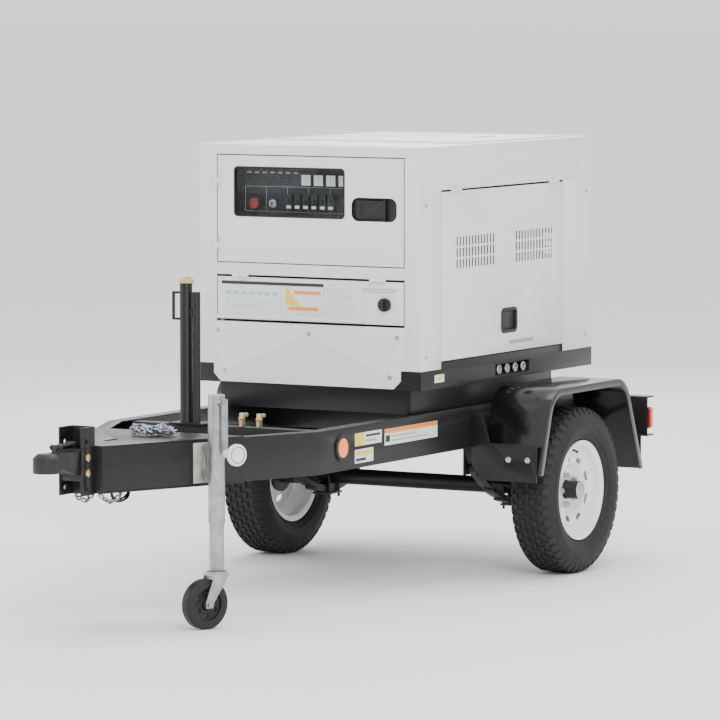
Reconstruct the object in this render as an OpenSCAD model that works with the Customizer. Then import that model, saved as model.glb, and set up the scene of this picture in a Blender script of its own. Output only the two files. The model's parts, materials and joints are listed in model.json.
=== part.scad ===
// Towable diesel generator set: weatherproof enclosure on a single-axle trailer.
// +Z is up, -Y is the coupler end, +X is the road side; the origin is on the ground, mid-length.

/* [Trailer frame] */
// Coupler nose to the rear face of the rear beam
overall_l = 3210; // [2900:10:3600]
// Height of the frame's top face
frame_top = 633; // [600:5:700]
// Depth of the frame channels
frame_h = 150; // [120:5:150]
// Thickness of the frame steel
sheet = 6; // [5:1:8]
// Width of the channel flanges
flange_w = 50; // [40:5:60]
// Outer face of a side rail, from the centre line
rail_half = 425; // [400:5:440]
// Outer face of the drawbar at its front end, from the centre line
tongue_half = 76; // [70:1:90]
// Length of the tapering drawbar, along the trailer
leg_run = 818; // [700:10:900]
// Coupler nose to the drawbar's front end
coupler_reach = 275; // [260:5:320]
// Axle to the rear face of the rear beam
rear_overhang = 620; // [580:5:700]
// Half the length of the rear beam
beam_half = 666; // [600:5:690]

/* [Wheels and axle] */
// Tyre outer diameter
wheel_d = 610; // [600:5:640]
// Tyre section width
tyre_w = 178; // [150:1:180]
// Distance between the wheel centres
track = 1218; // [1200:2:1240]
// Bead seat diameter of the rim
rim_d = 330; // [330:1:330]
// Pitch circle of the five wheel studs
stud_pcd = 114.3; // [114.3:0.1:114.3]
// Radius of the axle spindle
spindle_r = 17.5; // [15:0.5:20]
// Radius of the axle tube
axle_r = 30; // [25:1:35]
// Half the distance between the leaf spring's eyes
spring_half = 320; // [280:5:330]

/* [Fenders] */
// Width of a fender
fender_w = 240; // [200:5:240]
// Outer edge of a fender, from the centre line
fender_out = 702; // [700:1:720]
// Height of the fender's flat top
fender_top = 697; // [680:1:710]

/* [Enclosure] */
// Width of the enclosure
box_w = 916; // [900:2:960]
// Length of the enclosure
box_l = 1330; // [1300:5:1400]
// Height of the painted shell above the base
shell_h = 793; // [780:1:900]
// Height of the base
base_h = 68; // [60:1:90]
// Height of the fuel tank between the frame and the base
tank_h = 89; // [80:1:110]
// Axle to the front face of the enclosure
box_ahead = 825; // [800:5:830]
// Thickness of the enclosure's sheet metal
skin = 3; // [2:0.5:4]
// Depth of the folded edge around each door
fold = 22; // [15:1:28]
// Gap around doors and panels
door_gap = 4; // [3:0.5:6]
// Height of the roof's side band
band_h = 155; // [120:5:180]
// Height of the strip above the control door
header_h = 40; // [30:1:60]
// Width of the post left of the control door
post_left = 77; // [60:1:90]
// Width of the post right of the control door
post_right = 71; // [60:1:90]
// Height of the control door
door_h = 384; // [360:1:400]
// Control door's window width
window_w = 460; // [400:5:500]
// Control door's window height
window_h = 181; // [150:1:200]
// Height of the rail under the control door
midrail_h = 42; // [36:1:60]
// Height of the output flap
flap_h = 157; // [140:1:170]
// Length of the front corner before the side door
corner_l = 148; // [120:2:180]
// Length of the side door
side_door_l = 937; // [800:1:960]
// Height of the sill under the side door
sill_h = 28; // [20:1:40]

/* [Jack] */
// Distance along the drawbar's face from its front end to the jack
jack_run = 424; // [380:2:600]
// Distance from the drawbar's face to the jack's axis
jack_off = 52; // [50:1:60]
// Outer radius of the jack's tube
jack_r = 28.5; // [26:0.5:30]
// Wall of the jack's tube
jack_wall = 3.45; // [3:0.05:4]
// Height of the jack's top
jack_top = 790; // [760:5:800]
// Caster wheel diameter
caster_d = 170; // [150:2:180]

/* [Fits] */
// Radial clearance of shafts, pins and sliding tubes
fit_gap = 0.05; // [0.02:0.01:0.1]
// Gap between faces that pass each other
face_gap = 0.4; // [0.3:0.1:0.6]
// Radius of the trailer ball's socket
socket_r = 25.8; // [25.6:0.1:26]
// Radius of the hinge pins
pin_r = 3; // [2.5:0.5:4]

/* [Hidden] */
$fn = 64;

// Places along the trailer, worked out from the driving dimensions
nose_tip = -overall_l / 2;
tongue_y = nose_tip + coupler_reach;
bend_y = tongue_y + leg_run;
rear_y = overall_l / 2;
beam_depth = 60;
rail_end = rear_y - beam_depth;
axle_y = rear_y - rear_overhang;
axle_z = wheel_d / 2;
frame_low = frame_top - frame_h;
leg_a = atan((rail_half - tongue_half) / leg_run);
wheel_x = track / 2;

// Places of the enclosure
box_y = axle_y - box_ahead;
box_end = box_y + box_l;
half_w = box_w / 2;
base_z = frame_top + tank_h;
deck = base_z + base_h;
roof_z = deck + shell_h;
band_z = roof_z - band_h;
door_x0 = -half_w + post_left;
door_x1 = half_w - post_right;
door_z1 = roof_z - header_h;
door_z0 = door_z1 - door_h;
midrail_z = door_z0 - door_gap - midrail_h;
flap_z1 = midrail_z - door_gap;
flap_z0 = flap_z1 - flap_h;
side_y0 = box_y + corner_l + door_gap;
side_y1 = side_y0 + side_door_l;
side_z0 = deck + sill_h;
side_z1 = band_z - door_gap - 3;

// Small parts
barrel_r = pin_r + 4;
hinge_out = barrel_r + skin;
deck_t = 5;
ball_y = nose_tip + 45;
ball_z = 590;
channel_half = 45;
coupler_z0 = 525;
coupler_h = 103;
hole_pitch = 51;
bolt_r = 8;
plate_t = 5;
spring_x = rail_half - flange_w / 2;
spring_w = 45;
leaf_t = 8;
eye_z = axle_z + 95;
eye_r = 16;
swivel_z = 560;
crank_z = jack_top - 25;
crank_l = 170;
caster_z = caster_d / 2;
caster_trail = 50;
inner_r = jack_r - jack_wall;
neck_x = -160;
neck_y = bend_y + 92;
neck_top = 1120;
crank_axis_z = deck + 190;
fan_z = deck + 320;
panel_back = 70;

// ---------- shared shapes ----------
function rev(p) = [for (i = [len(p) - 1:-1:0]) p[i]];
// Outer line of a frame side, moved inwards by t
function frame_edge(t) = [
  [tongue_half - t / cos(leg_a), tongue_y],
  [rail_half - t, bend_y + t * (1 / cos(leg_a) - 1) / tan(leg_a)],
  [rail_half - t, rail_end]];
function arc(c, r, a0, a1, n) = [for (i = [0:n]) let (a = a0 + (a1 - a0) * i / n) c + r * [cos(a), sin(a)]];

module at_x(x, y, z) translate([x, y, z]) rotate([0, 90, 0]) children();
module at_y(x, y, z) translate([x, y, z]) rotate([-90, 0, 0]) children();
module both_sides() { children(); mirror([1, 0, 0]) children(); }
module left_side() mirror([1, 0, 0]) children();
module block(lo, hi) translate(lo) cube(hi - lo);
module strip(t, h) linear_extrude(h) polygon(concat(frame_edge(0), rev(frame_edge(t))));
// Places children on the drawbar's outer face: X points away from it, Y runs back along it
module on_leg(run, off) translate([tongue_half, tongue_y, 0]) rotate([0, 0, -leg_a]) translate([off, run, 0]) children();
module tube(r, wall, h) difference() { cylinder(r = r, h = h); translate([0, 0, -1]) cylinder(r = r - wall, h = h + 2); }
module hex(r, h) cylinder(r = r, h = h, $fn = 6);
// A bolt along +Z from a washer at z = 0, with its nut at the far side of the grip
module bolt(r, grip) {
  translate([0, 0, -0.6 * r]) hex(1.7 * r, 0.6 * r);
  cylinder(r = r, h = grip);
  translate([0, 0, grip]) hex(1.7 * r, 0.9 * r);
}
// Fixed half of a hinge along Z: pin and end barrels
module hinge_fixed(len) {
  cylinder(r = pin_r, h = len);
  for (z = [0, len * 0.7]) translate([0, 0, z]) cylinder(r = barrel_r, h = len * 0.3);
}
// Swinging half of a hinge along Z: the middle barrel, bored for the pin
module hinge_moving(len) translate([0, 0, len * 0.3 + face_gap]) difference() {
  cylinder(r = barrel_r, h = len * 0.4 - 2 * face_gap);
  translate([0, 0, -1]) cylinder(r = pin_r + fit_gap, h = len);
}

// ---------- trailer frame ----------
module rail() color("#17181a") difference() {
  translate([0, 0, frame_low]) union() {
    strip(sheet, frame_h);
    strip(flange_w, sheet);
    translate([0, 0, frame_h - sheet]) strip(flange_w, sheet);
  }
  at_x(rail_half - 20, lamp_y, lamp_z) cylinder(r = 20, h = 40);
}
module rail_right() rail();
module rail_left() left_side() rail();

cross_h = 100;
cross_ys = [bend_y + 70, axle_y - 420, axle_y + 330];
module crossmembers() color("#17181a") for (y = cross_ys) difference() {
  block([sheet - rail_half, y, frame_top - sheet - cross_h], [rail_half - sheet, y + 45, frame_top - sheet]);
  block([-rail_half, y + sheet, frame_top - cross_h], [rail_half, y + 60, frame_top - 2 * sheet]);
}

tongue_plate_l = 530;
function leg_x(y) = tongue_half + (y - tongue_y) * tan(leg_a);
module tongue_plate(h) linear_extrude(h) polygon([
  [-leg_x(tongue_y), tongue_y], [leg_x(tongue_y), tongue_y],
  [leg_x(tongue_y + tongue_plate_l), tongue_y + tongue_plate_l],
  [-leg_x(tongue_y + tongue_plate_l), tongue_y + tongue_plate_l]]);
module tongue_box() color("#17181a") difference() {
  union() {
    translate([0, 0, frame_top]) tongue_plate(plate_t);
    translate([0, 0, frame_low - plate_t]) tongue_plate(plate_t);
    block([-tongue_half, tongue_y - plate_t, frame_low - plate_t], [tongue_half, tongue_y, frame_top + plate_t]);
  }
  translate([-15, tongue_y + 190, frame_top - 1]) {
    translate([0, -28, 0]) cylinder(r = 12, h = 20);
    translate([0, 28, 0]) cylinder(r = 12, h = 20);
    translate([-12, -28, 0]) cube([24, 56, 20]);
  }
  for (y = [-1210, -1100]) translate([30, y - tongue_y_nominal + tongue_y, frame_low - 20]) cylinder(r = 9, h = 30);
}
tongue_y_nominal = -1330;

channel_depth = 76;
channel_y = tongue_y - plate_t - sheet;
channel_holes = [for (i = [0:3]) 500 + i * hole_pitch];
module coupler_channel() color("#17181a") difference() {
  union() {
    block([-channel_half, channel_y, 475], [channel_half, channel_y + sheet, 703]);
    for (s = [-1, 1]) translate([s * (channel_half - sheet / 2) - sheet / 2, channel_y - channel_depth, 475])
      cube([sheet, channel_depth + 1, 228]);
  }
  for (z = channel_holes) at_x(-60, channel_y - 45, z) cylinder(r = bolt_r + 0.6, h = 120);
}

module coupler_body() color("#1d1e20") difference() {
  union() {
    block([-channel_half + sheet + 0.5, channel_y - 72, coupler_z0], [channel_half - sheet - 0.5, channel_y - 4, coupler_z0 + coupler_h]);
    hull() {
      block([-34, channel_y - 80, 545], [34, channel_y - 70, coupler_z0 + coupler_h - 4]);
      translate([0, ball_y, ball_z]) cylinder(r = 30, h = 36, $fn = 32);
    }
    translate([0, ball_y, ball_z - 26]) cylinder(r = 45, h = 50);
    translate([0, ball_y, ball_z + 24]) cylinder(r1 = 45, r2 = 30, h = 14);
    block([-9, ball_y + 45, ball_z + 30], [9, ball_y + 62, ball_z + 62]);
  }
  translate([0, ball_y, ball_z]) sphere(r = socket_r);
  translate([0, ball_y, ball_z - 60]) cylinder(r = socket_r, h = 60);
  at_x(-20, ball_y + 53, ball_z + 54) cylinder(r = 4 + fit_gap, h = 40);
  for (z = [channel_holes[1], channel_holes[2]]) at_x(-60, channel_y - 45, z) cylinder(r = bolt_r + 0.6, h = 120);
  block([-28, channel_y - 60, coupler_z0 - 1], [28, channel_y - 12, coupler_z0 + coupler_h - 8]);
}

// Latch lever over the coupler, turning on a pin through the lug
module coupler_latch() color("#1d1e20") {
  at_x(-22, ball_y + 53, ball_z + 54) cylinder(r = 4, h = 44);
  for (x = [-14, 9 + face_gap]) at_x(x, ball_y + 53, ball_z + 54) cylinder(r = 10, h = 4.6);
  for (x = [-14, 9 + face_gap]) block([x, ball_y + 53, ball_z + 46], [x + 4.6, ball_y + 78, ball_z + 62]);
  block([-14, ball_y + 68, ball_z + 56], [14, ball_y + 150, ball_z + 62]);
  at_x(-16, ball_y + 152, ball_z + 60) cylinder(r = 7, h = 32);
}

module frame_bolts() {
  color("#c9a23c") for (z = [channel_holes[1], channel_holes[2]])
    at_x(-channel_half - 1, channel_y - 45, z) bolt(bolt_r, 2 * channel_half + 2);
  color("#b9bcc0") both_sides() for (p = fender_bolts) at_y(p[0], p[1] - 1, p[2]) bolt(7, plate_t + 9);
  color("#5c5e62") both_sides() for (s = [-1, 1]) for (x = [-1, 1])
    translate([spring_x + x * (spring_w / 2 + 6), axle_y + s * (axle_r + 6), stack_z - 22])
      cylinder(r = 5, h = axle_z - stack_z + 24);
  color("#5c5e62") both_sides() for (s = [-1, 1])
    at_x(spring_x - spring_w / 2 - 11, axle_y + s * (axle_r + 6), axle_z + 5) cylinder(r = 5, h = spring_w + 22);
  color("#5c5e62") both_sides() block([spring_x - 36, axle_y - 50, stack_z - 8.3],
    [spring_x + 36, axle_y + 50, stack_z - 0.3]);
}

// Stowed chains, as the outer form of the heap
module safety_chain() color("#b9c0c4") translate([-70, tongue_y + 395, frame_top + plate_t]) rotate([90, 0, 90])
  linear_extrude(180) polygon([[-75, 0], [75, 0], [58, 24], [20, 38], [-30, 36], [-62, 20]]);

// Wiring loop clipped under the drawbar, from gland to gland
harness_r = 5;
harness_route = [[30, -1210, 484], [30, -1210, 468], [30, -1205, 452], [30, -1190, 440], [30, -1170, 434],
  [30, -1145, 434], [30, -1122, 440], [30, -1106, 452], [30, -1100, 468], [30, -1100, 484]];
function unit(v) = v / norm(v);
function ring(p, d, r, n) = let (s = [1, 0, 0], u = unit(cross(d, s)))
  [for (i = [0:n - 1]) p + r * (cos(360 * i / n) * s + sin(360 * i / n) * u)];
module sweep(route, r, n) {
  m = len(route);
  dirs = [for (i = [0:m - 1]) unit(route[min(i + 1, m - 1)] - route[max(i - 1, 0)])];
  pts = [for (i = [0:m - 1]) for (q = ring(route[i], dirs[i], r, n)) q];
  sides = [for (i = [0:m - 2]) for (k = [0:n - 1])
    [(i + 1) * n + k, (i + 1) * n + (k + 1) % n, i * n + (k + 1) % n, i * n + k]];
  polyhedron(points = pts, faces = concat(sides, [[for (k = [0:n - 1]) k]], [[for (k = [n - 1:-1:0]) (m - 1) * n + k]]));
}
module wiring_harness() color("#141414") translate([0, tongue_y - tongue_y_nominal, frame_low - 483]) {
  sweep(harness_route, harness_r, 10);
  for (y = [-1210, -1100]) translate([30, y, 470]) tube(11, 5.7, 8 - 0.1);
}

// ---------- rear beam and lamps ----------
beam_z1 = frame_top - 28;
module rear_beam() color("#17181a") difference() {
  block([-beam_half, rail_end, beam_z1 - frame_h], [beam_half, rear_y, beam_z1]);
  block([-beam_half - 1, rail_end + sheet, beam_z1 - frame_h + sheet], [beam_half + 1, rear_y + 1, beam_z1 - sheet]);
}
lamp_y = bend_y + 167;
lamp_z = frame_top - 70;
module lamps() {
  color("#e8791c") both_sides() at_x(rail_half, lamp_y, lamp_z) {
    tube(48, 12, 7);
    cylinder(r = 34, h = 12);
  }
  color("#b3161b") both_sides() block([beam_half, rail_end + 1, beam_z1 - 120], [beam_half + 12, rail_end + 30, beam_z1 - 40]);
}

// ---------- fuel tank, base and filler ----------
module fuel_tank() color("#1b1c1e")
  block([30 - rail_half, box_y + 40, frame_top], [rail_half - 30, box_end - 205, deck - deck_t]);
module base_skid() color("#1b1c1e") {
  difference() {
    block([-half_w, box_y, base_z], [half_w, box_end, deck]);
    block([skin + 1 - half_w, box_y + skin + 1, base_z - 1], [half_w - skin - 1, box_end - skin - 1, deck - deck_t]);
    both_sides() block([half_w - 22, box_y + 560, base_z + 14], [half_w + 1, box_y + 825, deck - 12]);
    for (x = panel_bolt_low) at_y(x, box_y - 5, base_z + 45) cylinder(r = 4, h = 20);
  }
  both_sides() difference() {
    block([half_w - 26, box_y + 552, base_z + 6], [half_w - skin - 0.6, box_y + 833, deck - deck_t]);
    block([half_w - 22, box_y + 560, base_z + 14], [half_w + 1, box_y + 825, deck - 12]);
  }
  both_sides() block([half_w - skin - 16, side_y0 + 2, deck], [half_w - skin - 1, side_y1 - 2, side_z0 - door_gap]);
  both_sides() for (i = [0:3]) at_x(half_w - 22, box_y + 600 + i * 62, base_z + 34) cylinder(r = 16, h = 13);
}
module filler_neck() {
  color("#1b1c1e") {
    translate([neck_x, neck_y, frame_top - sheet]) {
      translate([-45, -45, 0]) cube([140, 90, sheet]);
      cylinder(r = 22, h = neck_top - frame_top + sheet - 12);
    }
    translate([neck_x + 42, neck_y, frame_top]) cylinder(r = 14, h = neck_top - frame_top - 30);
    translate([neck_x - 22 - 2, neck_y - 3, neck_top - 130]) {
      translate([-24, 0, 0]) cube([26, 8, 8]);
      translate([-24, 0, 92]) cube([26, 8, 8]);
      translate([-32, 0, 0]) cube([8, 8, 100]);
    }
    block([neck_x + 18, neck_y - 8, 1000], [neck_x + 32, neck_y + 8, 1030]);
  }
  color("#c9a23c") {
    translate([neck_x, neck_y, neck_top - 12]) difference() {
      cylinder(r = 22, h = 12);
      translate([0, 0, 2]) cylinder(r = 16, h = 20);
    }
    for (x = [70, 140]) translate([x, cross_ys[0] + 15, frame_top - sheet]) {
      cylinder(r = 11, h = 22);
      translate([0, 0, 22]) hex(13, 10);
      at_y(0, 0, 40) cylinder(r = 7, h = 34);
      translate([0, 0, 32]) cylinder(r = 9, h = 16);
    }
  }
}
module filler_cap() color("#c9a23c") translate([neck_x, neck_y, neck_top + face_gap]) {
  translate([0, 0, -10]) cylinder(r = 16 - fit_gap, h = 11);
  cylinder(r = 27, h = 14);
  translate([-20, -4, 13]) cube([40, 8, 9]);
}

// ---------- enclosure ----------
module front_post(x0, x1, side) color("#dfe1df") {
  block([x0, box_y, deck], [x1, box_y + skin, door_z1 + door_gap]);
  block([side > 0 ? half_w - skin : -half_w, box_y, deck], [side > 0 ? half_w : skin - half_w, box_y + corner_l, band_z]);
}
hinge_l = 60;
hinge_zs = [door_z1 - 122, door_z0 + 28];
module front_post_left() {
  front_post(-half_w, door_x0 - door_gap, -1);
  color("#26272a") for (z = hinge_zs) translate([door_x0 - door_gap, box_y - hinge_out, z]) {
    hinge_fixed(hinge_l);
    for (k = [0, 0.7]) translate([-barrel_r - 22, hinge_out - skin, hinge_l * k]) cube([22 + barrel_r / 2, skin, hinge_l * 0.3]);
    for (k = [0, 0.7]) translate([-barrel_r, 0, hinge_l * k]) cube([skin, hinge_out, hinge_l * 0.3]);
  }
  color("#1b1c1e") at_y(27 - half_w, box_y - 6, door_z1 - 187) cylinder(r = 11, h = 6);
}
module front_post_right() front_post(door_x1 + door_gap, half_w, 1);
module front_midrail() color("#dfe1df") {
  block([door_x0 - door_gap, box_y, midrail_z], [door_x1 + door_gap, box_y + skin, midrail_z + midrail_h]);
  block([door_x0 - door_gap, box_y + skin, midrail_z + midrail_h - skin], [door_x1 + door_gap, box_y + 40, midrail_z + midrail_h]);
  color("#26272a") for (x = flap_hinge_xs) at_x(x, box_y - hinge_out, flap_z1 + 1) {
    hinge_fixed(hinge_l);
    for (k = [0, 0.7]) translate([-barrel_r - 14, hinge_out - skin, hinge_l * k]) cube([14 + barrel_r / 2, skin, hinge_l * 0.3]);
    for (k = [0, 0.7]) translate([-barrel_r, 0, hinge_l * k]) cube([skin, hinge_out, hinge_l * 0.3]);
  }
}
flap_hinge_xs = [door_x0 + 70, door_x1 - 130];

// Control door: a folded pan with a rounded window and a pocket for its latch
window_x = door_x0 + 68;
window_z = door_z1 - 39 - window_h;
latch_x = door_x1 - 218;
latch_z = door_z1 - 231;
latch_w = 196;
latch_h = 96;
module rounded(w, h, r, t) linear_extrude(t) {
  translate([r, 0]) square([w - 2 * r, h]);
  translate([0, r]) square([w, h - 2 * r]);
  for (x = [r, w - r]) for (y = [r, h - r]) translate([x, y]) circle(r = r);
}
// A rounded plate whose face looks towards -Y, its near face at y
module face_plate(x, z, y, w, h, r, t) translate([x, y + t, z]) rotate([90, 0, 0]) rounded(w, h, r, t);
module pan(lo, hi) difference() {
  block(lo, hi);
  block([lo[0] + skin, lo[1] + skin, lo[2] + skin], [hi[0] - skin, hi[1] + 1, hi[2] - skin]);
}
module control_door() {
  color("#dfe1df") difference() {
    pan([door_x0, box_y, door_z0], [door_x1, box_y + fold, door_z1]);
    face_plate(window_x, window_z, box_y - 2, window_w, window_h, 16, 30);
    face_plate(latch_x, latch_z, box_y - 2, latch_w, latch_h, 34, 8);
  }
  color("#26272a") for (z = hinge_zs) translate([door_x0 - door_gap, box_y - hinge_out, z]) {
    hinge_moving(hinge_l);
    translate([barrel_r - skin, 0, hinge_l * 0.3 + face_gap]) cube([skin, hinge_out, hinge_l * 0.4 - 2 * face_gap]);
    translate([barrel_r - skin, hinge_out - skin, hinge_l * 0.3 + face_gap]) cube([22, skin, hinge_l * 0.4 - 2 * face_gap]);
  }
  color("#1b1c1e") difference() {
    face_plate(latch_x, latch_z, box_y, latch_w, latch_h, 34, fold - 4);
    face_plate(latch_x + 6, latch_z + 6, box_y - 1, latch_w - 12, latch_h - 12, 28, fold - 6);
  }
  color("#1b1c1e") for (z = [latch_z + 6, latch_z + latch_h - 12])
    block([latch_x + latch_w - 66, box_y + 4, z], [latch_x + latch_w - 54, box_y + fold - 8, z + 6]);
}
module door_window() color([0.25, 0.28, 0.3, 0.5])
  face_plate(window_x - 10, window_z - 10, box_y + skin, window_w + 20, window_h + 20, 20, 4);
// Paddle in the pocket, turning on pins between the two ears
paddle_x = latch_x + latch_w - 60;
paddle_y = box_y + 9;
module door_latch() color("#1b1c1e") difference() {
  union() {
    block([latch_x + 24, box_y + 4, latch_z + 16], [paddle_x + 6, box_y + 9, latch_z + latch_h - 16]);
    translate([paddle_x, paddle_y, latch_z + 12.5]) cylinder(r = 5, h = latch_h - 25);
  }
  translate([latch_x + 40, box_y, latch_z + 30]) cube([40, 5.5, latch_h - 60]);
}

// Control panel behind the door: a shallow box with gauges, switches and breakers
panel_y = box_y + panel_back;
key_x = window_x + 130;
stop_x = window_x + 60;
row_z = window_z + 46;
// An open tray behind a door: its back at y1, its rim at y0, with ears behind the front posts
module tray(z0, z1, y0, y1) {
  x0 = door_x0 - door_gap;
  x1 = door_x1 + door_gap;
  difference() {
    block([x0, y0, z0], [x1, y1 + skin, z1]);
    block([x0 + skin, y0 - 1, z0 + skin], [x1 - skin, y1, z1 - skin]);
  }
  for (x = [x0, x1 - skin]) block([x, box_y + skin, z0], [x + skin, y0 + 1, z1]);
  for (x = [x0 - 14, x1 - skin]) block([x, box_y + skin, z0], [x + 14 + skin, box_y + 2 * skin, z1]);
}
module control_panel() {
  color("#26292d") difference() {
    tray(door_z0 + 3, door_z1 - 1, box_y + fold + 2, panel_y);
    at_y(key_x, panel_y - 5, row_z) cylinder(r = 9 + fit_gap, h = 20);
    at_y(stop_x, panel_y - 5, row_z) cylinder(r = 8 + fit_gap, h = 20);
  }
  color("#101113") for (i = [0:3]) at_y(window_x + 270 + i * 50, panel_y - 12, window_z + 130) cylinder(r = 21, h = 12);
  color("#101113") for (i = [0:5]) block([window_x + 190 + i * 34, panel_y - 22, window_z + 26],
    [window_x + 216 + i * 34, panel_y, window_z + 80]);
  color("#c8c8c0") for (i = [0:5]) at_y(window_x + 30 + i * 32, panel_y - 6, window_z + 134) cylinder(r = 6, h = 6);
}
module key_switch() color("#b9bcc0") {
  at_y(key_x, panel_y - 12, row_z) cylinder(r = 9, h = 18);
  at_y(key_x, panel_y - 8, row_z) cylinder(r = 14, h = 8 - face_gap);
  block([key_x - 2, panel_y - 30, row_z - 9], [key_x + 2, panel_y - 11, row_z + 9]);
}
stop_travel = 5;
module stop_button() color("#c4161c") {
  at_y(stop_x, panel_y - 12, row_z) cylinder(r = 8, h = 22);
  at_y(stop_x, panel_y - 24, row_z) cylinder(r = 19, h = 12 + 6);
}

// Output terminals and their cover
board_y = box_y + 80;
module terminal_board() {
  color("#26292d") tray(flap_z0 - 2, flap_z1 - 1, box_y + 17, board_y);
  color("#c9a23c") for (i = [0:4]) at_y(door_x0 + 120 + i * 110, board_y - 30, flap_z0 + 62) {
    cylinder(r = 6, h = 30);
    translate([0, 0, 22]) hex(12, 8);
  }
}
knob_x = door_x1 - 74;
knob_z = flap_z0 + 72;
module output_flap() {
  color("#dfe1df") difference() {
    union() {
      pan([door_x0, box_y, flap_z0], [door_x1, box_y + 14, flap_z1 - 4]);
      block([door_x0 - 2, box_y - 20, flap_z0 + 4], [door_x1 - 155, box_y, flap_z0 + 7]);
      block([door_x0 - 2, box_y - 20, flap_z0 + 4], [door_x1 - 155, box_y - 17, flap_z0 + 16]);
    }
    at_y(knob_x, box_y - 5, knob_z) cylinder(r = 9 + fit_gap, h = 30);
  }
  color("#26272a") for (x = flap_hinge_xs) at_x(x, box_y - hinge_out, flap_z1 + 1) {
    hinge_moving(hinge_l);
    translate([barrel_r - skin, 0, hinge_l * 0.3 + face_gap]) cube([skin, hinge_out, hinge_l * 0.4 - 2 * face_gap]);
    translate([barrel_r - skin, hinge_out - skin, hinge_l * 0.3 + face_gap]) cube([14, skin, hinge_l * 0.4 - 2 * face_gap]);
  }
}
module flap_knob() color("#1b1c1e") {
  at_y(knob_x, box_y - 10, knob_z) cylinder(r = 9, h = 18);
  at_y(knob_x, box_y - 14, knob_z) cylinder(r = 24, h = 14 - face_gap);
  block([knob_x - 4, box_y - 24, knob_z - 18], [knob_x + 4, box_y - 13, knob_z + 18]);
  at_y(knob_x, box_y + skin + face_gap, knob_z) cylinder(r = 12, h = 4);
}

panel_top = flap_z0 - 8;
panel_bolt_low = [door_x0 + 30, door_x1 - 54];
panel_bolt_high = [door_x0 - 8, 0, door_x1 - 10];
module cable_panel() {
  color("#dfe1df") translate([0, box_y - 0.2, 0]) rotate([90, 0, 0]) linear_extrude(4) polygon([
    [door_x0 - 15, panel_top], [door_x0 - 15, base_z + 32], [door_x0 + 14, base_z + 3],
    [door_x1 - 39, base_z + 3], [door_x1 - 10, base_z + 32], [door_x1 - 10, panel_top]]);
  color("#d0d2d0") block([door_x0 - door_gap, box_y - 0.2, deck], [door_x1 + door_gap, box_y + skin - 0.2, panel_top]);
  color("#85888c") {
    for (x = panel_bolt_low) at_y(x, box_y - 8, base_z + 45) cylinder(r = 8, h = 4);
    for (x = panel_bolt_high) at_y(min(max(x, door_x0 + 2), door_x1 - 24), box_y - 8, panel_top - 34) cylinder(r = 8, h = 4);
    for (x = panel_bolt_low) at_y(x, box_y - 5, base_z + 45) cylinder(r = 3.8, h = 14);
  }
}

roof_screws = [box_y + 40, box_y + 154, box_end - 172, box_end - 24];
module roof_cover() color("#dfe1df") difference() {
  union() {
    difference() {
      block([-half_w, box_y, band_z], [half_w, box_end, roof_z]);
      block([skin - half_w, box_y + skin, band_z - 1], [half_w - skin, box_end - skin, roof_z - skin]);
      block([-half_w - 1, box_y - 1, band_z - 1], [half_w + 1, box_y + skin + 1, door_z1 + door_gap]);
    }
    block([-half_w + 60, box_y + 420, roof_z], [half_w - 60, box_end - 90, roof_z + 5]);
    both_sides() for (y = roof_screws) at_x(half_w, y, band_z + 28) cylinder(r = 8, h = 3);
    both_sides() side_hinge_posts();
  }
  translate([200, box_y + 970, roof_z - 20]) cylinder(r = 42, h = 60);
}
module rear_panel() color("#dfe1df") difference() {
  union() {
    block([-half_w, box_end - skin, deck], [half_w, box_end, band_z]);
    both_sides() block([half_w - skin, side_y1 + door_gap, deck], [half_w, box_end, band_z]);
  }
  for (s = [-1, 1]) for (i = [0:14]) block([s * 165 - 140, box_end - 10, deck + 90 + i * 32],
    [s * 165 + 140, box_end + 10, deck + 104 + i * 32]);
}

// Side door: folded pan, louvre slots, two hinges along its top edge
slot_rows = 3;
slot_cols = 13;
vent_z0 = deck + 353;
vent_ys = [box_y + 263, box_y + 717];
vent_l = 300;
side_hinge_ys = [side_y0 + 60, side_y1 - 120];
slatch_y = box_y + 610;
slatch_z = deck + 93;
slatch_w = 112;
slatch_h = 98;
module side_rounded(y, z, x, w, h, r, t) translate([x, y, z]) rotate([90, 0, 90]) rounded(w, h, r, t);
module side_door() {
  color("#dfe1df") difference() {
    block([half_w - fold, side_y0, side_z0], [half_w, side_y1, side_z1]);
    block([half_w - fold - 1, side_y0 + skin, side_z0 + skin], [half_w - skin, side_y1 - skin, side_z1 - skin]);
    for (v = vent_ys) for (r = [0:slot_rows - 1]) for (c = [0:slot_cols - 1])
      block([half_w - 8, v + c * vent_l / slot_cols, vent_z0 + r * 40], [half_w + 1, v + c * vent_l / slot_cols + 11, vent_z0 + r * 40 + 33]);
    side_rounded(slatch_y, slatch_z, half_w - 8, slatch_w, slatch_h, 22, 12);
  }
  color("#26272a") for (y = side_hinge_ys) translate([half_w + hinge_out, y, band_z - 2]) rotate([-90, 0, 0]) {
    hinge_moving(hinge_l);
    translate([-hinge_out, barrel_r - skin, hinge_l * 0.3 + face_gap]) cube([hinge_out, skin, hinge_l * 0.4 - 2 * face_gap]);
    translate([-hinge_out, barrel_r - skin, hinge_l * 0.3 + face_gap]) cube([skin, 22, hinge_l * 0.4 - 2 * face_gap]);
  }
  color("#1b1c1e") difference() {
    side_rounded(slatch_y, slatch_z, half_w - fold + 4, slatch_w, slatch_h, 22, fold - 4);
    side_rounded(slatch_y + 6, slatch_z + 6, half_w - fold + 8, slatch_w - 12, slatch_h - 12, 6, fold);
  }
}
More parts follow.
